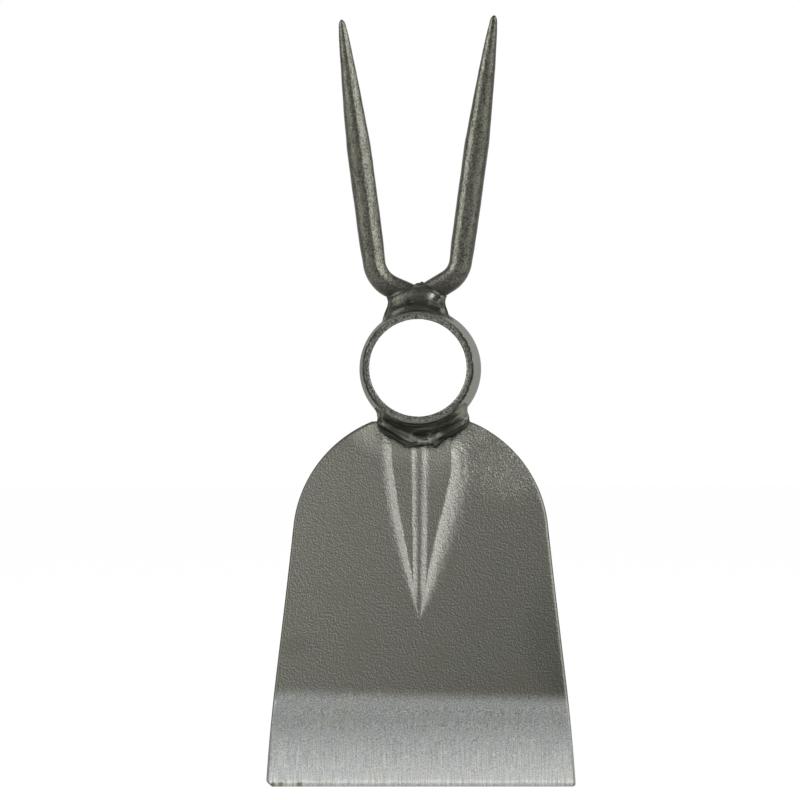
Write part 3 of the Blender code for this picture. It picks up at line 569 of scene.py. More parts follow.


# deposited weld metal: nearly black oxide, lighter on its ridges from wear and painted highlight, and towards its ends,
# with painted highlight spots, painted shade along the toe and painted light under the eye
def oxidisedWeldMetal():
    look = weldFinish
    material, tree, shader = newMetal("oxidised_weld_metal", look)
    place = addNode(tree, "ShaderNodeTexCoord").outputs["Object"]
    grain = addNode(tree, "ShaderNodeTexNoise", {"Scale": 1 / look["grainSize"], "Detail": 3.0},
                    {"Vector": place}).outputs[0]
    patch = addNode(tree, "ShaderNodeTexNoise", {"Scale": 1 / look["patchSize"], "Detail": 3.0},
                    {"Vector": place}).outputs[0]
    # streaks run along the seam, which follows the eye
    axes = addNode(tree, "ShaderNodeSeparateXYZ", {}, {0: place})
    flatPlace = addNode(tree, "ShaderNodeVectorMath", {"operation": "MULTIPLY", 1: (1, 0, 1)}, {0: place}).outputs[0]
    radius = addNode(tree, "ShaderNodeVectorMath", {"operation": "LENGTH"}, {0: flatPlace}).outputs["Value"]
    height = addNode(tree, "ShaderNodeMath", {"operation": "ABSOLUTE"}, {0: axes.outputs["Z"]}).outputs[0]
    angle = addNode(tree, "ShaderNodeMath", {"operation": "ARCTAN2"}, {0: axes.outputs["X"], 1: height}).outputs[0]
    along = addNode(tree, "ShaderNodeMath", {"operation": "MULTIPLY", 1: look["seamRadius"] / look["streakLength"]},
                    {0: angle}).outputs[0]
    outwards = addNode(tree, "ShaderNodeMath", {"operation": "MULTIPLY", 1: 1 / look["streakWidth"]},
                       {0: radius}).outputs[0]
    seamPlace = addNode(tree, "ShaderNodeCombineXYZ", {}, {0: along, 1: outwards}).outputs[0]
    streak = addNode(tree, "ShaderNodeTexNoise", {"Scale": 1.0, "Detail": 2.0, "Distortion": 0.5},
                     {"Vector": seamPlace}).outputs[0]
    shade = addNode(tree, "ShaderNodeMix", {"data_type": "FLOAT", 0: look["streakShare"]},
                    {2: patch, 3: streak}).outputs[0]
    shade = addNode(tree, "ShaderNodeMapRange", {"From Min": noiseLow, "From Max": noiseHigh},
                    {"Value": shade}).outputs[0]
    color = addNode(tree, "ShaderNodeMix", {"data_type": "RGBA", 6: hexColor(look["soot"]),
                                            7: hexColor(look["oxide"])}, {0: shade}).outputs[2]
    # soot is thickest in the middle, and thins out towards the weld's two ends
    fromMiddle = addNode(tree, "ShaderNodeMath", {"operation": "ABSOLUTE"}, {0: axes.outputs["X"]}).outputs[0]
    wavy = addNode(tree, "ShaderNodeMath", {"operation": "MULTIPLY_ADD", 1: look["clearRagged"]},
                   {0: patch, 2: fromMiddle}).outputs[0]
    clear = addNode(tree, "ShaderNodeMapRange",
                    {"interpolation_type": "SMOOTHSTEP", "From Min": look["clearFrom"],
                     "From Max": look["clearTo"], "To Max": look["clearShare"]}, {"Value": wavy}).outputs[0]
    color = addNode(tree, "ShaderNodeMix", {"data_type": "RGBA", 7: hexColor(look["clear"])},
                    {0: clear, 6: color}).outputs[2]
    # painted light close under the eye, lifting the shade of the eye's overhang
    above = addNode(tree, "ShaderNodeMath", {"operation": "MAXIMUM", 1: 0.0}, {0: axes.outputs["Z"]}).outputs[0]
    fromEye = addNode(tree, "ShaderNodeMath", {"operation": "MULTIPLY_ADD", 1: 10.0}, {0: above, 2: radius}).outputs[0]
    lightUnderEye = addNode(tree, "ShaderNodeMapRange", {"From Min": look["lightUnderEyeFrom"], "From Max": look["lightUnderEyeTo"],
                                                 "To Min": 1.0, "To Max": look["lightUnderEye"]},
                    {"Value": fromEye}).outputs[0]
    color = addNode(tree, "ShaderNodeVectorMath", {"operation": "SCALE"}, {0: color, "Scale": lightUnderEye}).outputs[0]
    # lighter on the ridges and ripples: partly wear, partly painted highlight
    crest = addNode(tree, "ShaderNodeAttribute", {"attribute_name": "crest"}).outputs["Fac"]
    highlightAndWear = addNode(tree, "ShaderNodeMapRange", {"From Min": look["crestFrom"], "From Max": look["crestTo"],
                                                "To Max": look["crestShare"]}, {"Value": crest}).outputs[0]
    color = addNode(tree, "ShaderNodeMix", {"data_type": "RGBA", 7: hexColor(look["crest"])},
                    {0: highlightAndWear, 6: color}).outputs[2]
    # painted shade, near black, along the lower toe and in the hollows, where the crest is below nothing
    toeShade = addNode(tree, "ShaderNodeMapRange", {"From Min": 0.0, "From Max": look["toeShadeTo"],
                                                 "To Max": look["toeShadeShare"]}, {"Value": crest}).outputs[0]
    color = addNode(tree, "ShaderNodeMix", {"data_type": "RGBA", 7: hexColor(look["toeShade"])},
                    {0: toeShade, 6: color}).outputs[2]
    for x, z, reach in look["highlightSpots"]:
        away = addNode(tree, "ShaderNodeVectorMath", {"operation": "DISTANCE", 1: (x * mm, 0, z * mm)},
                       {0: flatPlace}).outputs["Value"]
        away = addNode(tree, "ShaderNodeMath", {"operation": "MULTIPLY_ADD", 1: look["brightRagged"]},
                       {0: grain, 2: away}).outputs[0]
        edge, core = (share * reach * mm + look["brightRagged"] / 2 for share in (1.0, look["brightCore"]))
        highlightSpotShare = addNode(tree, "ShaderNodeMapRange",
                       {"interpolation_type": "SMOOTHSTEP", "From Min": edge, "From Max": core,
                        "To Max": look["brightShare"]}, {"Value": away}).outputs[0]
        color = addNode(tree, "ShaderNodeMix", {"data_type": "RGBA", 7: hexColor(look["bright"])},
                        {0: highlightSpotShare, 6: color}).outputs[2]
    tree.links.new(color, shader.inputs["Base Color"])
    both = addNode(tree, "ShaderNodeMath", {"operation": "MULTIPLY_ADD", 1: look["grainShare"]},
                   {0: grain, 2: streak}).outputs[0]
    bump = addNode(tree, "ShaderNodeBump", {"Strength": 1.0, "Distance": look["grainDepth"]}, {"Height": both})
    tree.links.new(bump.outputs[0], shader.inputs["Normal"])
    return material


blade = {
    "lean": 12.0,                      # degrees that the cutting edge comes towards the user
    "thickness": 3.0 * mm,
    "topDrop": 18.0 * mm,              # eye's axis to the top edge
    "height": 118.9 * mm,
    "topWidth": 32.5 * mm,
    "edgeWidth": bladeHigh.x - bladeLow.x,
    "shoulderRadius": 41.7 * mm,
    "frontRound": 1.1 * mm,            # rim rounded over by the shears on the user's side
    "backRound": 0.5 * mm,
    "groundHeight": 27.8 * mm,
    "groundThickness": 0.9 * mm,       # left at the cutting edge
    "leftClip": (1.9 * mm, 1.6 * mm),  # corner knocked off, across and up
    "rightRound": 1.0 * mm,
    "sideBulge": 0.5 * mm,             # the flared sides swell a little above the cutting edge
    "aside": 0.5 * mm,                 # the blade is welded on a little to the right
    "columns": 200, "rowSpacing": 0.64 * mm, "crowding": 1.45, "smoothAngle": 50,
    "rimSteps": (0.0, 0.12 * mm, 0.3 * mm, 0.55 * mm, 0.9 * mm, 1.4 * mm),
    "rowsRoundGround": 0.4 * mm, "rowsAtEdge": (0.25 * mm, 0.6 * mm),
    "rimShare": 0.8, "rimOnGround": 0.8 * mm, "rimOnRight": 1.0 * mm, "rimOnLeft": 1.3 * mm,
    "peelSize": 1.5 * mm, "peelHeight": 0.07 * mm, "peelFade": (0.5 * mm, 3 * mm), "peelGroundOff": 0.8,
    "pittedPlace": (29 * mm, 13 * mm, 15 * mm), "pitDepth": 0.12 * mm,
}

# a growth is a factor and a power of the share of the crease's full length
crease = {
    "length": 65.6 * mm, "halfReach": 24 * mm, "fillet": 0.36 * mm, "filletLength": 20 * mm,
    "aside": -0.45 * mm,        # off the blade's middle, towards the left
    "fullLength": 57.4 * mm,    # over which the left floor opens out
    "depth": 2.5 * mm, "growth": (1.4, 0.58), "crestHalf": 0.5 * mm, "ridgeHeight": 1.0 * mm,
    "left": {"floor": 10.0 * mm, "opening": 1.35, "wall": 5.6 * mm, "growth": (1.5, 0.8), "curve": 2.9,
             "flank": 3.0 * mm, "slope": 2.0, "shallow": 0.3},   # the floor is less deep at its left edge
    "right": {"floor": 10.8 * mm, "taper": 0.214, "kink": 0.35 * mm, "kinkPlace": (31 * mm, 38 * mm),
              "wall": 9.8 * mm, "growth": (1.35, 0.6), "curve": 2.2, "flank": 4.3 * mm, "slope": 2.5},
}


def shoulderCentre():
    return math.sqrt(blade["shoulderRadius"] ** 2 - (blade["topWidth"] / 2) ** 2)


def sideAngle():
    across, down = blade["edgeWidth"] / 2, blade["height"] - shoulderCentre()
    return math.acos(blade["shoulderRadius"] / math.hypot(across, down)) - math.atan2(down, across)


def halfWidth(down):
    radius, angle = blade["shoulderRadius"], sideAngle()
    sideStart = shoulderCentre() - radius * math.sin(angle)
    if down <= sideStart:
        return math.sqrt(radius ** 2 - (shoulderCentre() - down) ** 2)
    startWidth = radius * math.cos(angle)
    share = (down - sideStart) / (blade["height"] - sideStart)
    bulge = blade["sideBulge"] * math.sin(math.pi * min(1.0, share) ** 2)
    return startWidth + (blade["edgeWidth"] / 2 - startWidth) * share + bulge


# half width on one side, with that side's worn corner at the cutting edge
def cornerWidth(down, side):
    width, fromEdge = halfWidth(down), max(0.0, blade["height"] - down)
    if side < 0:
        across, up = blade["leftClip"]
        return width - across * max(0.0, 1 - fromEdge / up)
    radius = blade["rightRound"]
    if fromEdge < radius:
        width -= radius - math.sqrt(radius ** 2 - (radius - fromEdge) ** 2)
    return width


# how far inside the outline a place lies
def fromOutline(across, down):
    centre = shoulderCentre()
    if down < centre:
        return blade["shoulderRadius"] - math.hypot(across, centre - down)
    return cornerWidth(down, -1 if across < 0 else 1) - abs(across)


# how far a sharp-cornered crease would be sunk away from the user
def creaseDepth(across, down):
    across -= crease["aside"]
    place, fromTip = abs(across), crease["length"] - down
    if fromTip <= 0:
        return 0.0
    side = crease["left"] if across < 0 else crease["right"]
    share = min(1.0, fromTip / crease["fullLength"])
    (factor, power), (wallFactor, wallPower) = crease["growth"], side["growth"]
    wall = side["wall"] * min(1.0, wallFactor * share ** wallPower)
    depth = crease["depth"] * min(1.0, factor * share ** power)
    if across < 0:
        floor = side["floor"] * (1 - (1 - share) ** side["opening"])
        depth *= 1 - side["shallow"] * min(1.0, place / floor)
    else:
        floor = min(side["floor"], side["taper"] * fromTip + side["kink"] * blendShare(fromTip, *side["kinkPlace"]))
    if place > floor:
        return depth * max(0.0, 1 - (place - floor) / wall) ** side["curve"]
    flank = min(side["flank"] * (0.4 + 0.6 * share), floor)
    crest = min(crease["crestHalf"], floor / 2)
    ridge = min(crease["ridgeHeight"], 0.7 * depth)
    return depth - ridge * max(0.0, 1 - max(0.0, place - crest) / flank) ** side["slope"]


# pressed steel rounds over every corner, so the depth is averaged over a small width
def sunk(across, down):
    if down > crease["length"] or abs(across) > crease["halfReach"]:
        return 0.0
    steps = (-2, -1, 0, 1, 2)
    fillet = crease["fillet"] * (0.3 + 0.7 * blendShare(crease["length"] - down, 0, crease["filletLength"]))
    return sum(creaseDepth(across + fillet * step, down) for step in steps) / len(steps)


# how steeply the crease falls away at a place, up to 1
def creaseSlope(across, down):
    step = 0.3 * mm
    return min(1.0, abs(sunk(across + step, down) - sunk(across - step, down)) / step)


# columns crowd at the rim and towards the crease
def columnPlace(share, width):
    rimSteps = blade["rimSteps"]
    side = -1 if share < 0.5 else 1
    index = round(min(share, 1 - share) * blade["columns"])
    if index < len(rimSteps):
        return side * (width - rimSteps[index])
    inner = width - rimSteps[-1]
    along = abs(2 * share - 1) / (1 - 2 * (len(rimSteps) - 1) / blade["columns"])
    return side * inner * along ** blade["crowding"]


def rowPlaces():
    count = round(blade["height"] / blade["rowSpacing"])
    rows = [blade["height"] * i / count for i in range(count + 1)]
    groundStart = blade["height"] - blade["groundHeight"]
    rows += [groundStart - blade["rowsRoundGround"], groundStart + blade["rowsRoundGround"]]
    rows += [blade["height"] - step for step in blade["rowsAtEdge"]]
    return sorted(rows)


# how far the surface falls away this near to an edge that is rounded over
def rounding(edgeGap, radius):
    if edgeGap >= radius:
        return 0.0
    return radius - math.sqrt(max(0.0, radius ** 2 - (radius - max(0.0, edgeGap)) ** 2))


# a rolled and pressed surface is never quite even, and one shoulder is pitted
def pittedShare(across, down):
    centreX, centreDown, reach = blade["pittedPlace"]
    return math.exp(-(math.hypot(across - centreX, down - centreDown) / reach) ** 4)


def uneven(across, down):
    peel = mathutils.noise.noise((across / blade["peelSize"], 0, down / blade["peelSize"]))
    return (blade["peelHeight"] + blade["pitDepth"] * pittedShare(across, down)) * peel


# how far down the blade a point lies, before the blade is leant
def downAt(point):
    return -point.co.z - blade["topDrop"]


# how much of the sheared rim's dark scale a point has
def rimShare(point):
    if downAt(point) > blade["height"] - blade["groundHeight"]:
        reach = blade["rimOnGround"]
    else:
        reach = blade["rimOnRight"] if point.co.x > 0 else blade["rimOnLeft"]
    return blade["rimShare"] * (1 - blendShare(fromOutline(point.co.x, downAt(point)), 0.6 * reach, reach))


def makeBlade(material):
    rows = rowPlaces()
    deselectAll()
    bpy.ops.mesh.primitive_grid_add(x_subdivisions=blade["columns"], y_subdivisions=len(rows) - 1, size=1.0,
                                    rotation=(math.pi / 2, 0, 0))
    piece = nameNew("hoe_blade")
    bpy.ops.object.transform_apply(location=False, rotation=True, scale=False)
    # lay the sheet out to the blade's outline and press the crease into it
    for point in piece.data.vertices:
        row = round((0.5 - point.co.z) * (len(rows) - 1))
        share = round((point.co.x + 0.5) * blade["columns"]) / blade["columns"]
        down = rows[row]
        across = columnPlace(share, cornerWidth(down, -1 if share < 0.5 else 1))
        point.co = (across, sunk(across, down), -(blade["topDrop"] + down))
    applyModifier(piece, "SOLIDIFY", thickness=blade["thickness"], offset=0.0, use_even_offset=True)
    # round the sheared rim over, and grind the user's side down to the cutting edge
    groundStart = blade["height"] - blade["groundHeight"]
    for point in piece.data.vertices:
        across, down = point.co.x, downAt(point)
        front = point.co.y < sunk(across, down)
        gap = fromOutline(across, down)
        ground = min(1.0, max(0.0, down - groundStart) / blade["groundHeight"])
        left = 1 - (1 - blade["groundThickness"] / blade["thickness"]) * ground
        if front:
            point.co.y += (1 - left) * blade["thickness"] + rounding(gap, blade["frontRound"] * left)
        else:
            point.co.y -= rounding(gap, blade["backRound"] * left)
        point.co.y += uneven(across, down) * blendShare(gap, *blade["peelFade"]) * (1 - blade["peelGroundOff"] * ground)
    closeUp(piece)
    paintPoints(piece, "pressed", lambda point: creaseSlope(point.co.x, downAt(point)))
    paintPoints(piece, "pitted", lambda point: pittedShare(point.co.x, downAt(point)))
    paintPoints(piece, "rim", rimShare)
    makeActive(piece)
    bpy.ops.transform.rotate(value=math.radians(blade["lean"]), orient_axis="X", center_override=(0, 0, 0))
    editAll(piece)
    bpy.ops.transform.translate(value=(blade["aside"], 0, 0))
    setMode("OBJECT")
    settle(piece, blade["smoothAngle"])
    finishPiece(piece, material, "blade_steel", "blade")


eye = {
    "length": eyeHigh.y - eyeLow.y,
    "rearBore": 18.4 * mm,
    "frontBore": 16.0 * mm,
    "wall": 2.1 * mm,
    "sides": 320,
    # places of the rim in millimetres, as radius past the bore and depth from the end
    "rim": ((0.0, 1.8), (-0.12, 1.1), (-0.26, 0.6), (-0.2, 0.25), (0.1, 0.08), (0.6, 0.02), (0.95, 0.0), (1.25, 0.05),
            (1.5, 0.18), (1.7, 0.24), (1.86, 0.22), (1.97, 0.28), (2.06, 0.42), (2.1, 0.8)),
    "tear": 0.28 * mm,         # roughness of the sheared rim
    "tearSize": 0.55 * mm, "tearDepth": (0.8 * mm, 0.4 * mm), "tearAcross": (1.3 * mm, 1.5 * mm), "smoothAngle": 60,
    "weldTintAndShadeHeight": 16.6 * mm,   # heat marks and painted shade start this far above and below the axis
}


def makeEye(material):
    half, wall = eye["length"] / 2, eye["wall"]
    front, rear = eye["frontBore"], eye["rearBore"]
    profile = [(front + past * mm, -half + depth * mm) for past, depth in eye["rim"]]
    for share in (0.2, 0.4, 0.6, 0.8):
        profile.append((front + wall + (rear - front) * share, -half + eye["length"] * share))
    profile += [(rear + past * mm, half - depth * mm) for past, depth in reversed(eye["rim"])]
    for share in (0.75, 0.5, 0.25):
        profile.append((front + (rear - front) * share, -half + eye["length"] * share))
    deselectAll()
    bpy.ops.mesh.primitive_circle_add(vertices=len(profile), radius=wall)
    piece = nameNew("eye_tube")
    for point, (radius, along) in zip(piece.data.vertices, profile):
        point.co = (radius, along, 0.0)
    editAll(piece)
    bpy.ops.mesh.spin(steps=eye["sides"], angle=2 * math.pi, center=(0, 0, 0), axis=(0, 1, 0))
    setMode("OBJECT")
    closeUp(piece)

    def tornAmount(place):
        past = math.hypot(place.x, place.z) - front - (rear - front) * (0.5 + place.y / eye["length"])
        ended = blendShare(abs(place.y), *[half - depth for depth in eye["tearDepth"]])
        return ended * (1 - blendShare(past, *eye["tearAcross"]))

    markPoints(piece, "torn", tornAmount)
    roughen(piece, eye["tearSize"], eye["tear"], "torn", 1)
    settle(piece, eye["smoothAngle"])
    finishPiece(piece, material, "eye_steel", "eye_ring")


prong = {
    "radius": 4.0 * mm,
    "sides": 96,
    "butt": 22.87 * mm,         # height of the bars' axes where they meet
    "lean": 8.0,
    "sweepRadius": 600.0 * mm,
    "taperLength": 41.0 * mm,
    "tipRadius": 1.3 * mm,
    "tipLength": 3.0 * mm,
    "footRadius": 3.76 * mm,    # hammered thinner where it is bent
    "footBlend": 7.0 * mm, "footLap": 2.0 * mm, "footReach": 3 * mm,
    "hammering": 0.2 * mm, "hammerSize": 5.0 * mm,
    "bendSteps": 14, "ringSpacing": 1.5 * mm, "footRings": 8,
    "tipRings": (1.0, 0.8, 0.6, 0.4, 0.25, 0.12, 0.04, 0.0),
    "weldTintAndShadeTop": 30.0 * mm, "shineFacing": (0.93, 0.985), "smoothAngle": 60,
}

# the two bars were bent by hand, and differ a little
bends = {
    -1: {"slope": 24.5, "reach": 13.95 * mm, "radius": 10.0 * mm, "splay": 7.0, "leg": 84.1 * mm, "fullness": 0.8,
         "flatTurn": 37.0, "flatHalf": 28.0, "flatness": 0.6, "shine": 0.48},
    1: {"slope": 31.0, "reach": 13.3 * mm, "radius": 9.0 * mm, "splay": 8.2, "leg": 83.6 * mm, "fullness": 0.72,
        "flatTurn": 36.0, "flatHalf": 8.0, "flatness": 1.0, "shine": 0.3},
}


# the bar's radius at a distance from its point
def barRadius(fromTip, fullness):
    if fromTip >= prong["taperLength"]:
        return prong["radius"]
    share = max(0.0, fromTip - prong["tipLength"]) / (prong["taperLength"] - prong["tipLength"])
    radius = prong["tipRadius"] + (prong["radius"] - prong["tipRadius"]) * share ** fullness
    if fromTip < prong["tipLength"]:
        radius *= math.sqrt(max(0.02, 1 - (1 - fromTip / prong["tipLength"]) ** 2))
    return radius


def makeProng(name, side, node, material):
    bend, lean = bends[side], math.tan(math.radians(prong["lean"]))
    slope, leg = math.radians(bend["slope"]), math.radians(90 - bend["splay"])
    tangent = bend["radius"] * math.tan((leg - slope) / 2)
    footWay = Vector((math.cos(slope), 0, math.sin(slope)))
    legWay = Vector((math.cos(leg), 0, math.sin(leg)))
    corner = footWay * (bend["reach"] / footWay.x)
    bendStart = corner - footWay * tangent
    upWay = Vector((-footWay.z, 0, footWay.x))
    bendCentre = bendStart + upWay * bend["radius"]
    footLength = bendStart.length + prong["footLap"]

    # the foot, as a bar lying along its slope
    deselectAll()
    bpy.ops.mesh.primitive_cylinder_add(vertices=prong["sides"], radius=prong["footRadius"], depth=footLength,
                                        location=bendStart - footWay * footLength / 2,
                                        rotation=(0, math.pi / 2 - slope, 0))
    piece = nameNew(name)
    bpy.ops.object.transform_apply(location=True, rotation=True, scale=True)
    # hammer the flat along it, towards the user and the other bar
    turn, half = math.radians(bend["flatTurn"]), math.radians(bend["flatHalf"])
    for point in piece.data.vertices:
        axisPoint = footWay * point.co.dot(footWay) + upWay * bendStart.dot(upWay)
        out = point.co - axisPoint
        away = math.atan2(out.dot(upWay), -out.y) - turn
        if abs(away) < half:
            point.co = axisPoint + out * (1 + bend["flatness"] * (math.cos(half) / math.cos(away) - 1))
    # bend it upwards at its outer end, then draw the leg out to its point
    pickPoints(piece, lambda place: (place - bendStart).dot(footWay) > -0.01 * mm)
    bpy.ops.mesh.spin(steps=prong["bendSteps"], angle=leg - slope, center=bendCentre, axis=(0, 1, 0))
    legStart = corner + legWay * tangent
    straight, spacing = bend["leg"] - tangent, prong["ringSpacing"]
    stops = [straight - spacing * i for i in range(1, int(straight / spacing))]
    stops = [stop for stop in stops if stop > prong["tipLength"]]
    stops += [prong["tipLength"] * share for share in prong["tipRings"]]
    reached, radius = straight, prong["footRadius"]
    for stop in stops:
        bpy.ops.mesh.extrude_region_move(TRANSFORM_OT_translate={"value": legWay * (reached - stop)})
        middle = legStart + legWay * (straight - stop)
        grown = blendShare(straight - stop, 0, prong["footBlend"])
        wanted = prong["footRadius"] + (barRadius(stop, bend["fullness"]) - prong["footRadius"]) * grown
        factor = wanted / radius
        bpy.ops.transform.resize(value=(factor, factor, factor), center_override=middle)
        reached, radius = stop, radius * factor
    setMode("OBJECT")
    closeUp(piece)
    # rings along the foot, so that it takes the hammering as the leg does
    editAll(piece)
    for step in range(1, prong["footRings"]):
        bpy.ops.mesh.select_all(action="SELECT")
        bpy.ops.mesh.bisect(plane_co=bendStart - footWay * footLength * step / prong["footRings"], plane_no=footWay)
    setMode("OBJECT")
    # lean the bar towards the user, and put it on its side
    for point in piece.data.vertices:
        height = point.co.z
        forward = height * lean + height * abs(height) / (2 * prong["sweepRadius"])
        point.co = (side * point.co.x, point.co.y - forward, height + prong["butt"])
    closeUp(piece)
    roughen(piece, prong["hammerSize"], prong["hammering"])

    # how much a point faces the way that the flat was hammered, which sets its painted highlight
    def flatShine(point):
        height = point.co.z - prong["butt"]
        angle = slope + (leg - slope) * blendShare(height, bendStart.z, legStart.z)
        inward = Vector((-side * math.sin(angle), 0, math.cos(angle)))
        front = Vector((0, -1, -lean - abs(height) / prong["sweepRadius"]))
        facing = point.normal.dot(front.normalized() * math.cos(turn) + inward * math.sin(turn))
        return bend["shine"] * blendShare(facing, *prong["shineFacing"])

    paintPoints(piece, "flat", flatShine)
    settle(piece, prong["smoothAngle"])
    finishPiece(piece, material, "prong_steel", node)


# value read off between listed places, with soft corners
def readOff(value, pairs):
    for (start, low), (end, high) in zip(pairs, pairs[1:]):
        if value <= end:
            share = 0.5 * blendShare(value, start, end) + 0.5 * max(0.0, value - start) / (end - start)
            return low + (high - low) * share
    return pairs[-1][1]


# a place part of the way along a route of x, z places in millimetres
def alongRoute(share, route):
    count = len(route) - 1
    index = min(count - 1, int(share * count))
    start, end = Vector(route[index]) * mm, Vector(route[index + 1]) * mm
    return start.lerp(end, share * count - index)


# how far a place is from a route, which may be a single place
def fromRoute(place, route):
    nearest = 1.0
    for start, end in zip(route, route[1:] or route):
        start, end = Vector(start) * mm, Vector(end) * mm
        way = end - start
        share = min(1.0, max(0.0, (place - start).dot(way) / max(1e-12, way.length_squared)))
        nearest = min(nearest, (place - start - way * share).length)
    return nearest


# ridges and hollows frozen into a weld, each with its height, reach and route in millimetres
def frozenRelief(x, z, ridges):
    place = Vector((x, z))
    return sum(height * math.exp(-(fromRoute(place, route) / (reach * mm)) ** 2) for height, reach, route in ridges)


weldSurface = {
    "mergeGap": 0.02 * mm, "skinDepth": 0.4 * mm, "smoothing": 12, "bumpSize": 1.5 * mm, "bumpHeight": 0.12 * mm,
    "sunkInEye": 0.25 * mm, "smoothAngle": 60,
}


# a weld's skin laid out over its two shares, and filled back to the plane that it closes on
def makeWeld(name, columns, rows, skinPlace, middle, crestAt, material, node):
    deselectAll()
    bpy.ops.mesh.primitive_grid_add(x_subdivisions=columns, y_subdivisions=rows, size=1.0)
    piece = nameNew(name)
    for point in piece.data.vertices:
        point.co = skinPlace(round((point.co.x + 0.5) * columns) / columns, round((point.co.y + 0.5) * rows) / rows)
    editAll(piece)
    bpy.ops.mesh.extrude_region_move(TRANSFORM_OT_translate={"value": (0, 0, 0)})
    setMode("OBJECT")
    for point in piece.data.vertices:
        if point.select:
            point.co.y = middle(point.co)
    look = weldSurface
    closeUp(piece, look["mergeGap"])
    markPoints(piece, "skin", lambda place: abs(place.y - middle(place)) / look["skinDepth"])
    applyModifier(piece, "SMOOTH", factor=0.5, iterations=look["smoothing"], vertex_group="skin")
    roughen(piece, look["bumpSize"], look["bumpHeight"])
    paintPoints(piece, "crest", lambda point: crestAt(point.co.x, point.co.z))
    settle(piece, look["smoothAngle"])
    finishPiece(piece, material, "weld_steel", node)


# outside radius of the eye at a depth along its axis
def eyeOutside(y):
    front, rear = eye["frontBore"], eye["rearBore"]
    return (front + rear) / 2 + eye["wall"] + y * (rear - front) / eye["length"]


# the prongs' front surface, as its distance towards the user
def barsFront(x, z):
    front = 0.0
    for side, bend in bends.items():
        slope = math.radians(bend["slope"])
        away = -side * x * math.sin(slope) + (z - prong["butt"]) * math.cos(slope)
        if side * x > -prong["footReach"] and abs(away) < prong["footRadius"]:
            forward = (z - prong["butt"]) * math.tan(math.radians(prong["lean"]))
            front = max(front, math.sqrt(prong["footRadius"] ** 2 - away ** 2) + forward)
    return front


# outline of the upper weld as x, z places in millimetres: along the eye, up both sides, and over the bars
upperWeld = {
    "leftSide": ((-12.4, 15.5), (-12.0, 17.0), (-11.6, 18.2), (-11.05, 19.4), (-10.5, 20.6), (-10.25, 21.9),
                 (-10.4, 22.9), (-10.7, 23.6)),
    "rightSide": ((11.9, 15.9), (10.9, 16.9), (9.95, 18.0), (9.5, 19.3), (9.0, 20.6), (8.75, 21.9),
                  (8.95, 22.9), (9.3, 23.8)),
    "top": ((-10.7, 23.6), (-9.2, 24.8), (-7.0, 25.9), (-4.6, 26.5), (-2.4, 27.2), (-0.6, 28.2), (1.6, 28.4),
            (3.4, 27.6), (5.2, 26.4), (6.6, 25.5), (8.0, 25.0), (9.3, 23.8)),
    "columns": 110, "rows": 64, "atEye": 8.5 * mm, "atBars": 5.3 * mm, "hollow": 2.0, "roundness": 2.6,
    "underBars": 0.3 * mm, "overBars": 0.15 * mm, "settledFrom": 0.7, "softShare": 0.1,
    "ridges": ((0.25, 0.9, ((-10.2, 21.3), (-8.0, 22.4), (-5.6, 23.3), (-2.5, 24.0), (0.5, 24.2))),
               (0.2, 0.7, ((-9.6, 23.7), (-7.0, 24.8), (-4.4, 25.4), (-1.0, 25.6))),
               (0.25, 0.8, ((-10.8, 17.6), (-8.6, 18.3), (-6.6, 19.4), (-4.6, 20.0))),
               (-0.35, 0.9, ((-9.6, 20.0), (-6.2, 20.9), (-3.0, 21.6))),
               (-0.4, 1.2, ((-2.5, 21.6), (0.5, 21.4), (3.6, 20.9), (6.5, 20.2))),
               (0.45, 1.5, ((4.2, 23.9), (3.4, 23.4))),
               (-0.7, 0.5, ((9.6, 25.6), (7.6, 24.2), (5.6, 22.6))),
               (0.45, 1.1, ((7.9, 23.3), (7.4, 22.3))), (0.4, 1.0, ((7.9, 19.2), (8.5, 18.5))),
               (-0.35, 0.6, ((4.6, 21.4), (6.8, 20.0))), (0.15, 0.4, ((0.0, 22.4),))),
}


# weld between the prongs' feet and the top of the eye, on the user's side (-1) or the far side (1)
def makeUpperWeld(name, way, node, material):
    look = upperWeld
    left, right, top = look["leftSide"], look["rightSide"], look["top"]
    first, last = math.atan2(left[0][0], left[0][1]), math.atan2(right[0][0], right[0][1])
    radius = eyeOutside(way * look["atEye"]) - weldSurface["sunkInEye"]

    def skinPlace(across, up):
        turn = first + (last - first) * across
        bottom = Vector((math.sin(turn), math.cos(turn))) * radius
        corners = (left[0], right[0], left[-1], right[-1])
        lowLeft, lowRight, highLeft, highRight = (Vector(corner) * mm for corner in corners)
        flat = bottom.lerp(alongRoute(across, top), up) + alongRoute(up, left).lerp(alongRoute(up, right), across)
        flat -= lowLeft.lerp(lowRight, across).lerp(highLeft.lerp(highRight, across), up)
        hollow = (1 - up) ** look["hollow"]
        rounded = math.sqrt(max(0.0, 1 - abs(2 * across - 1) ** look["roundness"]))
        proud = rounded * (look["atEye"] * hollow + look["atBars"] * (1 - hollow))
        proud += frozenRelief(flat.x, flat.y, look["ridges"]) * mm * rounded * blendShare(up, 0, look["softShare"])
        # at its top it dips under the bars' surface, and below that it covers them
        onBars = barsFront(flat.x, flat.y)
        settled = blendShare(up, look["settledFrom"], 1.0)
        proud = proud * (1 - settled) + (onBars - look["underBars"]) * settled
        proud = max(proud, (onBars + look["overBars"]) * blendShare(1 - up, 0.0, look["softShare"]))
        return Vector((flat.x, way * max(0.0, proud), flat.y))

    makeWeld(name, look["columns"], look["rows"], skinPlace, lambda place: 0.0,
             lambda x, z: frozenRelief(x, z, look["ridges"]), material, node)


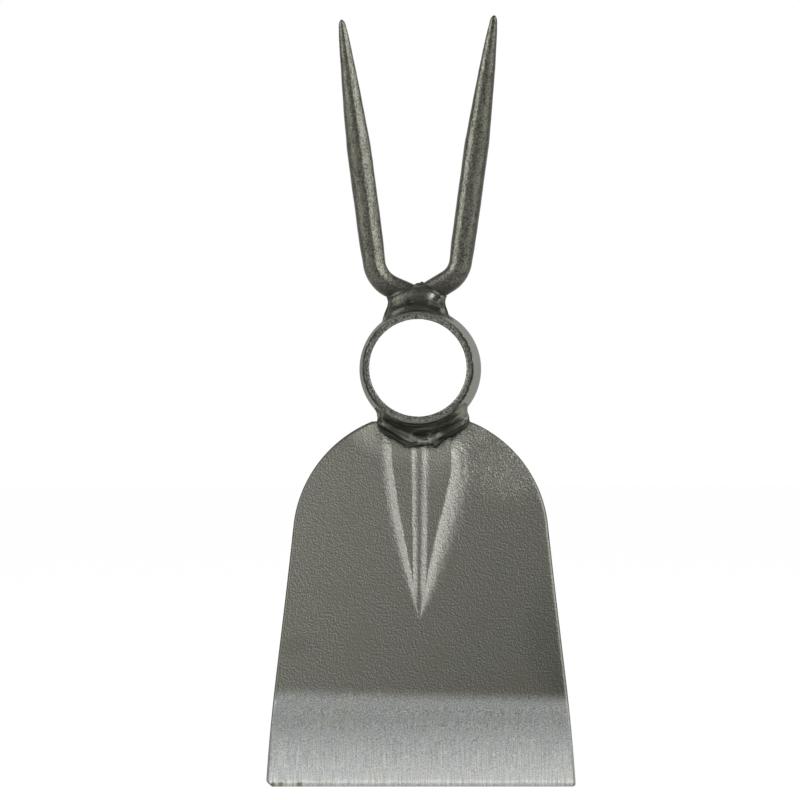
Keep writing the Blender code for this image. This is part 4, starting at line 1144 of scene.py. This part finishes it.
# the weld under the eye: its toe as angles round the eye and radii, its ridges as x, z places
lowerWeld = {
    "toe": ((-48, 19.9), (-43.5, 20.1), (-40.5, 21.1), (-36.6, 23.4), (-31.7, 24.6), (-27, 24.7), (-21.7, 24.6),
            (-17.5, 25.1), (-14.3, 25.5), (-10.5, 26.0), (-6.7, 26.1), (-2, 25.9), (2, 25.6), (6.5, 25.4), (9.5, 25.8),
            (11, 26.4), (12, 26.7), (13.2, 26.6), (15, 26.2), (17, 25.4), (24.2, 24.8), (32.6, 24.9), (38.5, 25.2),
            (42.5, 24.8), (45.2, 23.3), (48.5, 21.2), (53, 19.9)),
    "toeRagged": 0.3, "raggedTurn": 4.5, "eyeRadius": 19 * mm, "softShare": 0.16,
    "columns": 150, "rows": 40, "climb": 7.4 * mm, "hollow": 2.1, "toeHeight": 0.9 * mm, "toeCurve": 5.0,
    "toeSink": 0.2 * mm, "roundness": 6, "toeShadeLeft": 3.2 * mm, "toeShadeRight": 2.5 * mm, "toeShadeFade": 1.2 * mm,
    "toeShadeMiddle": 0.1, "toeShadeSides": 0.7, "toeShadeTurn": (8, 20),
    "ridges": ((0.55, 0.5, ((-13.6, -17.8), (-11.3, -19.1), (-8.7, -20.6), (-6.4, -22.1), (-4.0, -23.4),
                            (-2.4, -24.2))),
               (0.25, 1.3, ((-5.0, -22.8), (-1.8, -23.4))),
               (-0.3, 1.1, ((-11.0, -17.0), (-8.0, -18.7), (-5.0, -20.4), (-1.5, -21.4))),
               (0.45, 0.7, ((-2.4, -22.8), (-1.5, -23.4), (0.0, -23.9), (1.9, -24.0), (4.4, -23.6), (6.8, -22.5))),
               (0.27, 0.5, ((7.2, -22.2), (9.2, -21.2), (12.0, -19.6), (14.4, -18.4))),
               (0.3, 0.6, ((-2.4, -21.6), (-1.4, -20.9), (0.4, -20.4), (3.0, -20.1), (5.6, -19.6), (8.0, -18.9))),
               (0.2, 0.6, ((8.4, -18.7), (11.0, -17.7), (14.7, -16.1))),
               (-0.4, 0.8, ((-0.6, -22.2), (1.0, -22.5), (2.2, -22.3))),
               (-0.4, 0.6, ((4.7, -21.5), (5.7, -21.1))),
               (-0.35, 0.7, ((7.8, -20.9), (10.2, -19.6), (13.8, -17.4))),
               (0.3, 0.9, ((5.4, -25.0), (5.6, -25.4)))),
    # hair-thin ripples: the raised ones lighter from wear and painted highlight, the sunk one painted shade; too low to
    # shape, so only the crest knows them
    "ripples": ((0.4, 0.24, ((-6.3, -20.3), (-4.2, -21.4), (-2.5, -22.0))),
                (-0.35, 0.3, ((-10.3, -19.0), (-6.6, -21.1), (-3.6, -22.6))),
                (0.6, 0.24, ((3.0, -22.8), (3.8, -21.4), (5.2, -20.6))),
                (0.55, 0.26, ((6.0, -21.9), (7.7, -20.3), (10.1, -19.2), (13.4, -17.5))),
                (0.35, 0.24, ((7.9, -18.1), (13.4, -15.6))),
                (0.4, 0.24, ((1.2, -23.1), (4.0, -22.9), (6.4, -21.9)))),
}


# weld between the underside of the eye and the blade, on the user's side (-1) or the far side (1)
def makeLowerWeld(name, way, node, material):
    look = lowerWeld
    lean = math.tan(math.radians(blade["lean"]))
    first, last = look["toe"][0][0], look["toe"][-1][0]
    half = blade["thickness"] / 2

    def skinPlace(across, outwards):
        turn = first + (last - first) * across
        x, z = math.sin(math.radians(turn)), -math.cos(math.radians(turn))
        inner = eyeOutside(look["eyeRadius"] * z * lean + way * (half + look["climb"])) - weldSurface["sunkInEye"]
        ragged = look["toeRagged"] * mm * mathutils.noise.noise((turn / look["raggedTurn"], way, 0))
        toe = readOff(turn, look["toe"]) * mm + ragged
        radius = inner + (toe - inner) * outwards
        x, z = x * radius, z * radius
        proud = look["climb"] * (1 - outwards) ** look["hollow"]
        proud += look["toeHeight"] * (1 - outwards ** look["toeCurve"])
        proud += frozenRelief(x, z, look["ridges"]) * mm * blendShare(1 - outwards, 0, look["softShare"])
        rounded = math.sqrt(max(0.0, 1 - abs(2 * across - 1) ** look["roundness"]))
        proud = (half + proud - look["toeSink"] * outwards) * rounded
        return Vector((x, z * lean + way * proud, z))

    # how worn and highlighted a place is, and how much painted shade it takes near the toe, more away from the weld's
    # middle
    def crestAt(x, z):
        turn = math.degrees(math.atan2(x, -z))
        sideways = blendShare(abs(turn), *look["toeShadeTurn"])
        toeShade = look["toeShadeMiddle"] + (look["toeShadeSides"] - look["toeShadeMiddle"]) * sideways
        start = readOff(turn, look["toe"]) * mm - (look["toeShadeLeft"] if turn < 0 else look["toeShadeRight"])
        ridges = frozenRelief(x, z, look["ridges"]) + frozenRelief(x, z, look["ripples"])
        return ridges - toeShade * blendShare(math.hypot(x, z), start, start + look["toeShadeFade"])

    makeWeld(name, look["columns"], look["rows"], skinPlace, lambda place: place.z * lean, crestAt, material, node)


buttWeld = {
    "middle": (0.2, 26.0), "halfSize": (4.4, 3.6, 1.6), "nubHeight": 1.1, "endRise": 1.2,
    "bumpSize": 1.3 * mm, "bumpHeight": 0.2 * mm, "crest": 0.1, "smoothAngle": 180,
}


# metal run into the notch between the two feet, with a nub on its right: a ball pulled out of shape
def makeButtWeld(material):
    look = buttWeld
    (middleX, middleZ), (halfX, halfY, halfZ) = look["middle"], look["halfSize"]
    deselectAll()
    bpy.ops.mesh.primitive_uv_sphere_add(segments=48, ring_count=32, radius=1.0)
    piece = nameNew("butt_weld_bead")
    for point in piece.data.vertices:
        x, y, z = point.co
        nub = math.exp(-((x - 0.2) / 0.22) ** 2) * blendShare(z, 0.2, 1.0)
        height = middleZ + halfZ * z + look["nubHeight"] * nub + look["endRise"] * x * x
        point.co = Vector((middleX + halfX * x, halfY * y * (1 - 0.25 * x * x), height)) * mm
    roughen(piece, look["bumpSize"], look["bumpHeight"])
    paintPoints(piece, "crest", lambda point: look["crest"])
    settle(piece, look["smoothAngle"])
    finishPiece(piece, material, "weld_steel", "prong_butt_weld")


print("materials")
bladeSteel = lacqueredMillScale(blade)
eyeSteel = drawnTubeSteel(eye)
prongSteel = forgedBarScale(prong)
weldSteel = oxidisedWeldMetal()

print("pieces")
makeBlade(bladeSteel)
makeEye(eyeSteel)
makeProng("left_prong_bar", -1, "left_prong", prongSteel)
makeProng("right_prong_bar", 1, "right_prong", prongSteel)
makeUpperWeld("upper_front_weld_bead", -1, "prong_weld_front", weldSteel)
makeUpperWeld("upper_rear_weld_bead", 1, "prong_weld_rear", weldSteel)
makeLowerWeld("lower_front_weld_bead", -1, "blade_weld_front", weldSteel)
makeLowerWeld("lower_rear_weld_bead", 1, "blade_weld_rear", weldSteel)
makeButtWeld(weldSteel)


studio = {
    "floorColor": "#f4f4f2", "floorSize": 6.0, "floorGap": 0.05 * mm, "floorGlow": 0.9,
    "lampDistance": 0.62, "lampTurn": 60.0, "lampRise": 20.0, "lampSize": (0.45, 0.60),
    "leftPower": 4.0, "rightPower": 3.4,
}


def makeFloor():
    deselectAll()
    bpy.ops.mesh.primitive_grid_add(x_subdivisions=2, y_subdivisions=2, size=studio["floorSize"],
                                    location=(0, 0, min(cadBox[0][2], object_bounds()[0][2]) - studio["floorGap"]))
    floor = nameNew("studio_floor")
    material = bpy.data.materials.new("white_paper_floor")
    material.use_nodes = True
    tree = material.node_tree
    shader = tree.nodes["Principled BSDF"]
    shader.inputs["Base Color"].default_value = hexColor(studio["floorColor"])
    shader.inputs["Roughness"].default_value = 0.9
    shader.inputs["Specular IOR Level"].default_value = 0.1
    ray = addNode(tree, "ShaderNodeLightPath")
    glow = addNode(tree, "ShaderNodeEmission", {"Strength": 1.0})
    seen = addNode(tree, "ShaderNodeMath", {"operation": "MULTIPLY", 1: studio["floorGlow"]},
                   {0: ray.outputs["Is Camera Ray"]}).outputs[0]
    mixed = addNode(tree, "ShaderNodeMixShader", {}, {0: seen, 1: shader.outputs[0], 2: glow.outputs[0]})
    tree.links.new(mixed.outputs[0], tree.nodes["Material Output"].inputs["Surface"])
    floor.data.materials.append(material)


def makeWorld():
    world = bpy.data.worlds.new("white_studio")
    world.use_nodes = True
    background = world.node_tree.nodes["Background"]
    background.inputs["Color"].default_value = (1, 1, 1, 1)
    background.inputs["Strength"].default_value = 1.0
    bpy.context.scene.world = world


def addSoftbox(name, place, target, size, power):
    bpy.ops.object.light_add(type="AREA", location=place)
    lamp = nameNew(name)
    lamp.data.shape = "RECTANGLE"
    lamp.data.size, lamp.data.size_y = size
    lamp.data.energy = power
    lamp.rotation_euler = (Vector(target) - Vector(place)).to_track_quat("-Z", "Y").to_euler()


def makeLights():
    turn, rise, far = math.radians(studio["lampTurn"]), math.radians(studio["lampRise"]), studio["lampDistance"]
    for name, side, power in (("left_softbox", -1, studio["leftPower"]), ("right_softbox", 1, studio["rightPower"])):
        place = (side * far * math.sin(turn) * math.cos(rise), -far * math.cos(turn) * math.cos(rise),
                 far * math.sin(rise))
        addSoftbox(name, place, (0, 0, 0), studio["lampSize"], power)


view = {
    "place": (19.5 * mm, -900 * mm, -10 * mm), "target": (-6.35 * mm, 0, -10.4 * mm),
    "lens": 122.7, "sensorWidth": 36.0, "roll": -0.25,
}


def makeCamera():
    bpy.ops.object.camera_add(location=view["place"])
    camera = nameNew("photo_camera")
    camera.data.lens = view["lens"]
    camera.data.sensor_width = view["sensorWidth"]
    aim = (Vector(view["target"]) - Vector(view["place"])).to_track_quat("-Z", "Y")
    camera.rotation_euler = (aim.to_matrix() @ Euler((0, 0, math.radians(view["roll"]))).to_matrix()).to_euler()
    bpy.context.scene.camera = camera


print("studio")
makeFloor()
makeWorld()
makeLights()
makeCamera()
bpy.context.scene.view_settings.view_transform = "Standard"
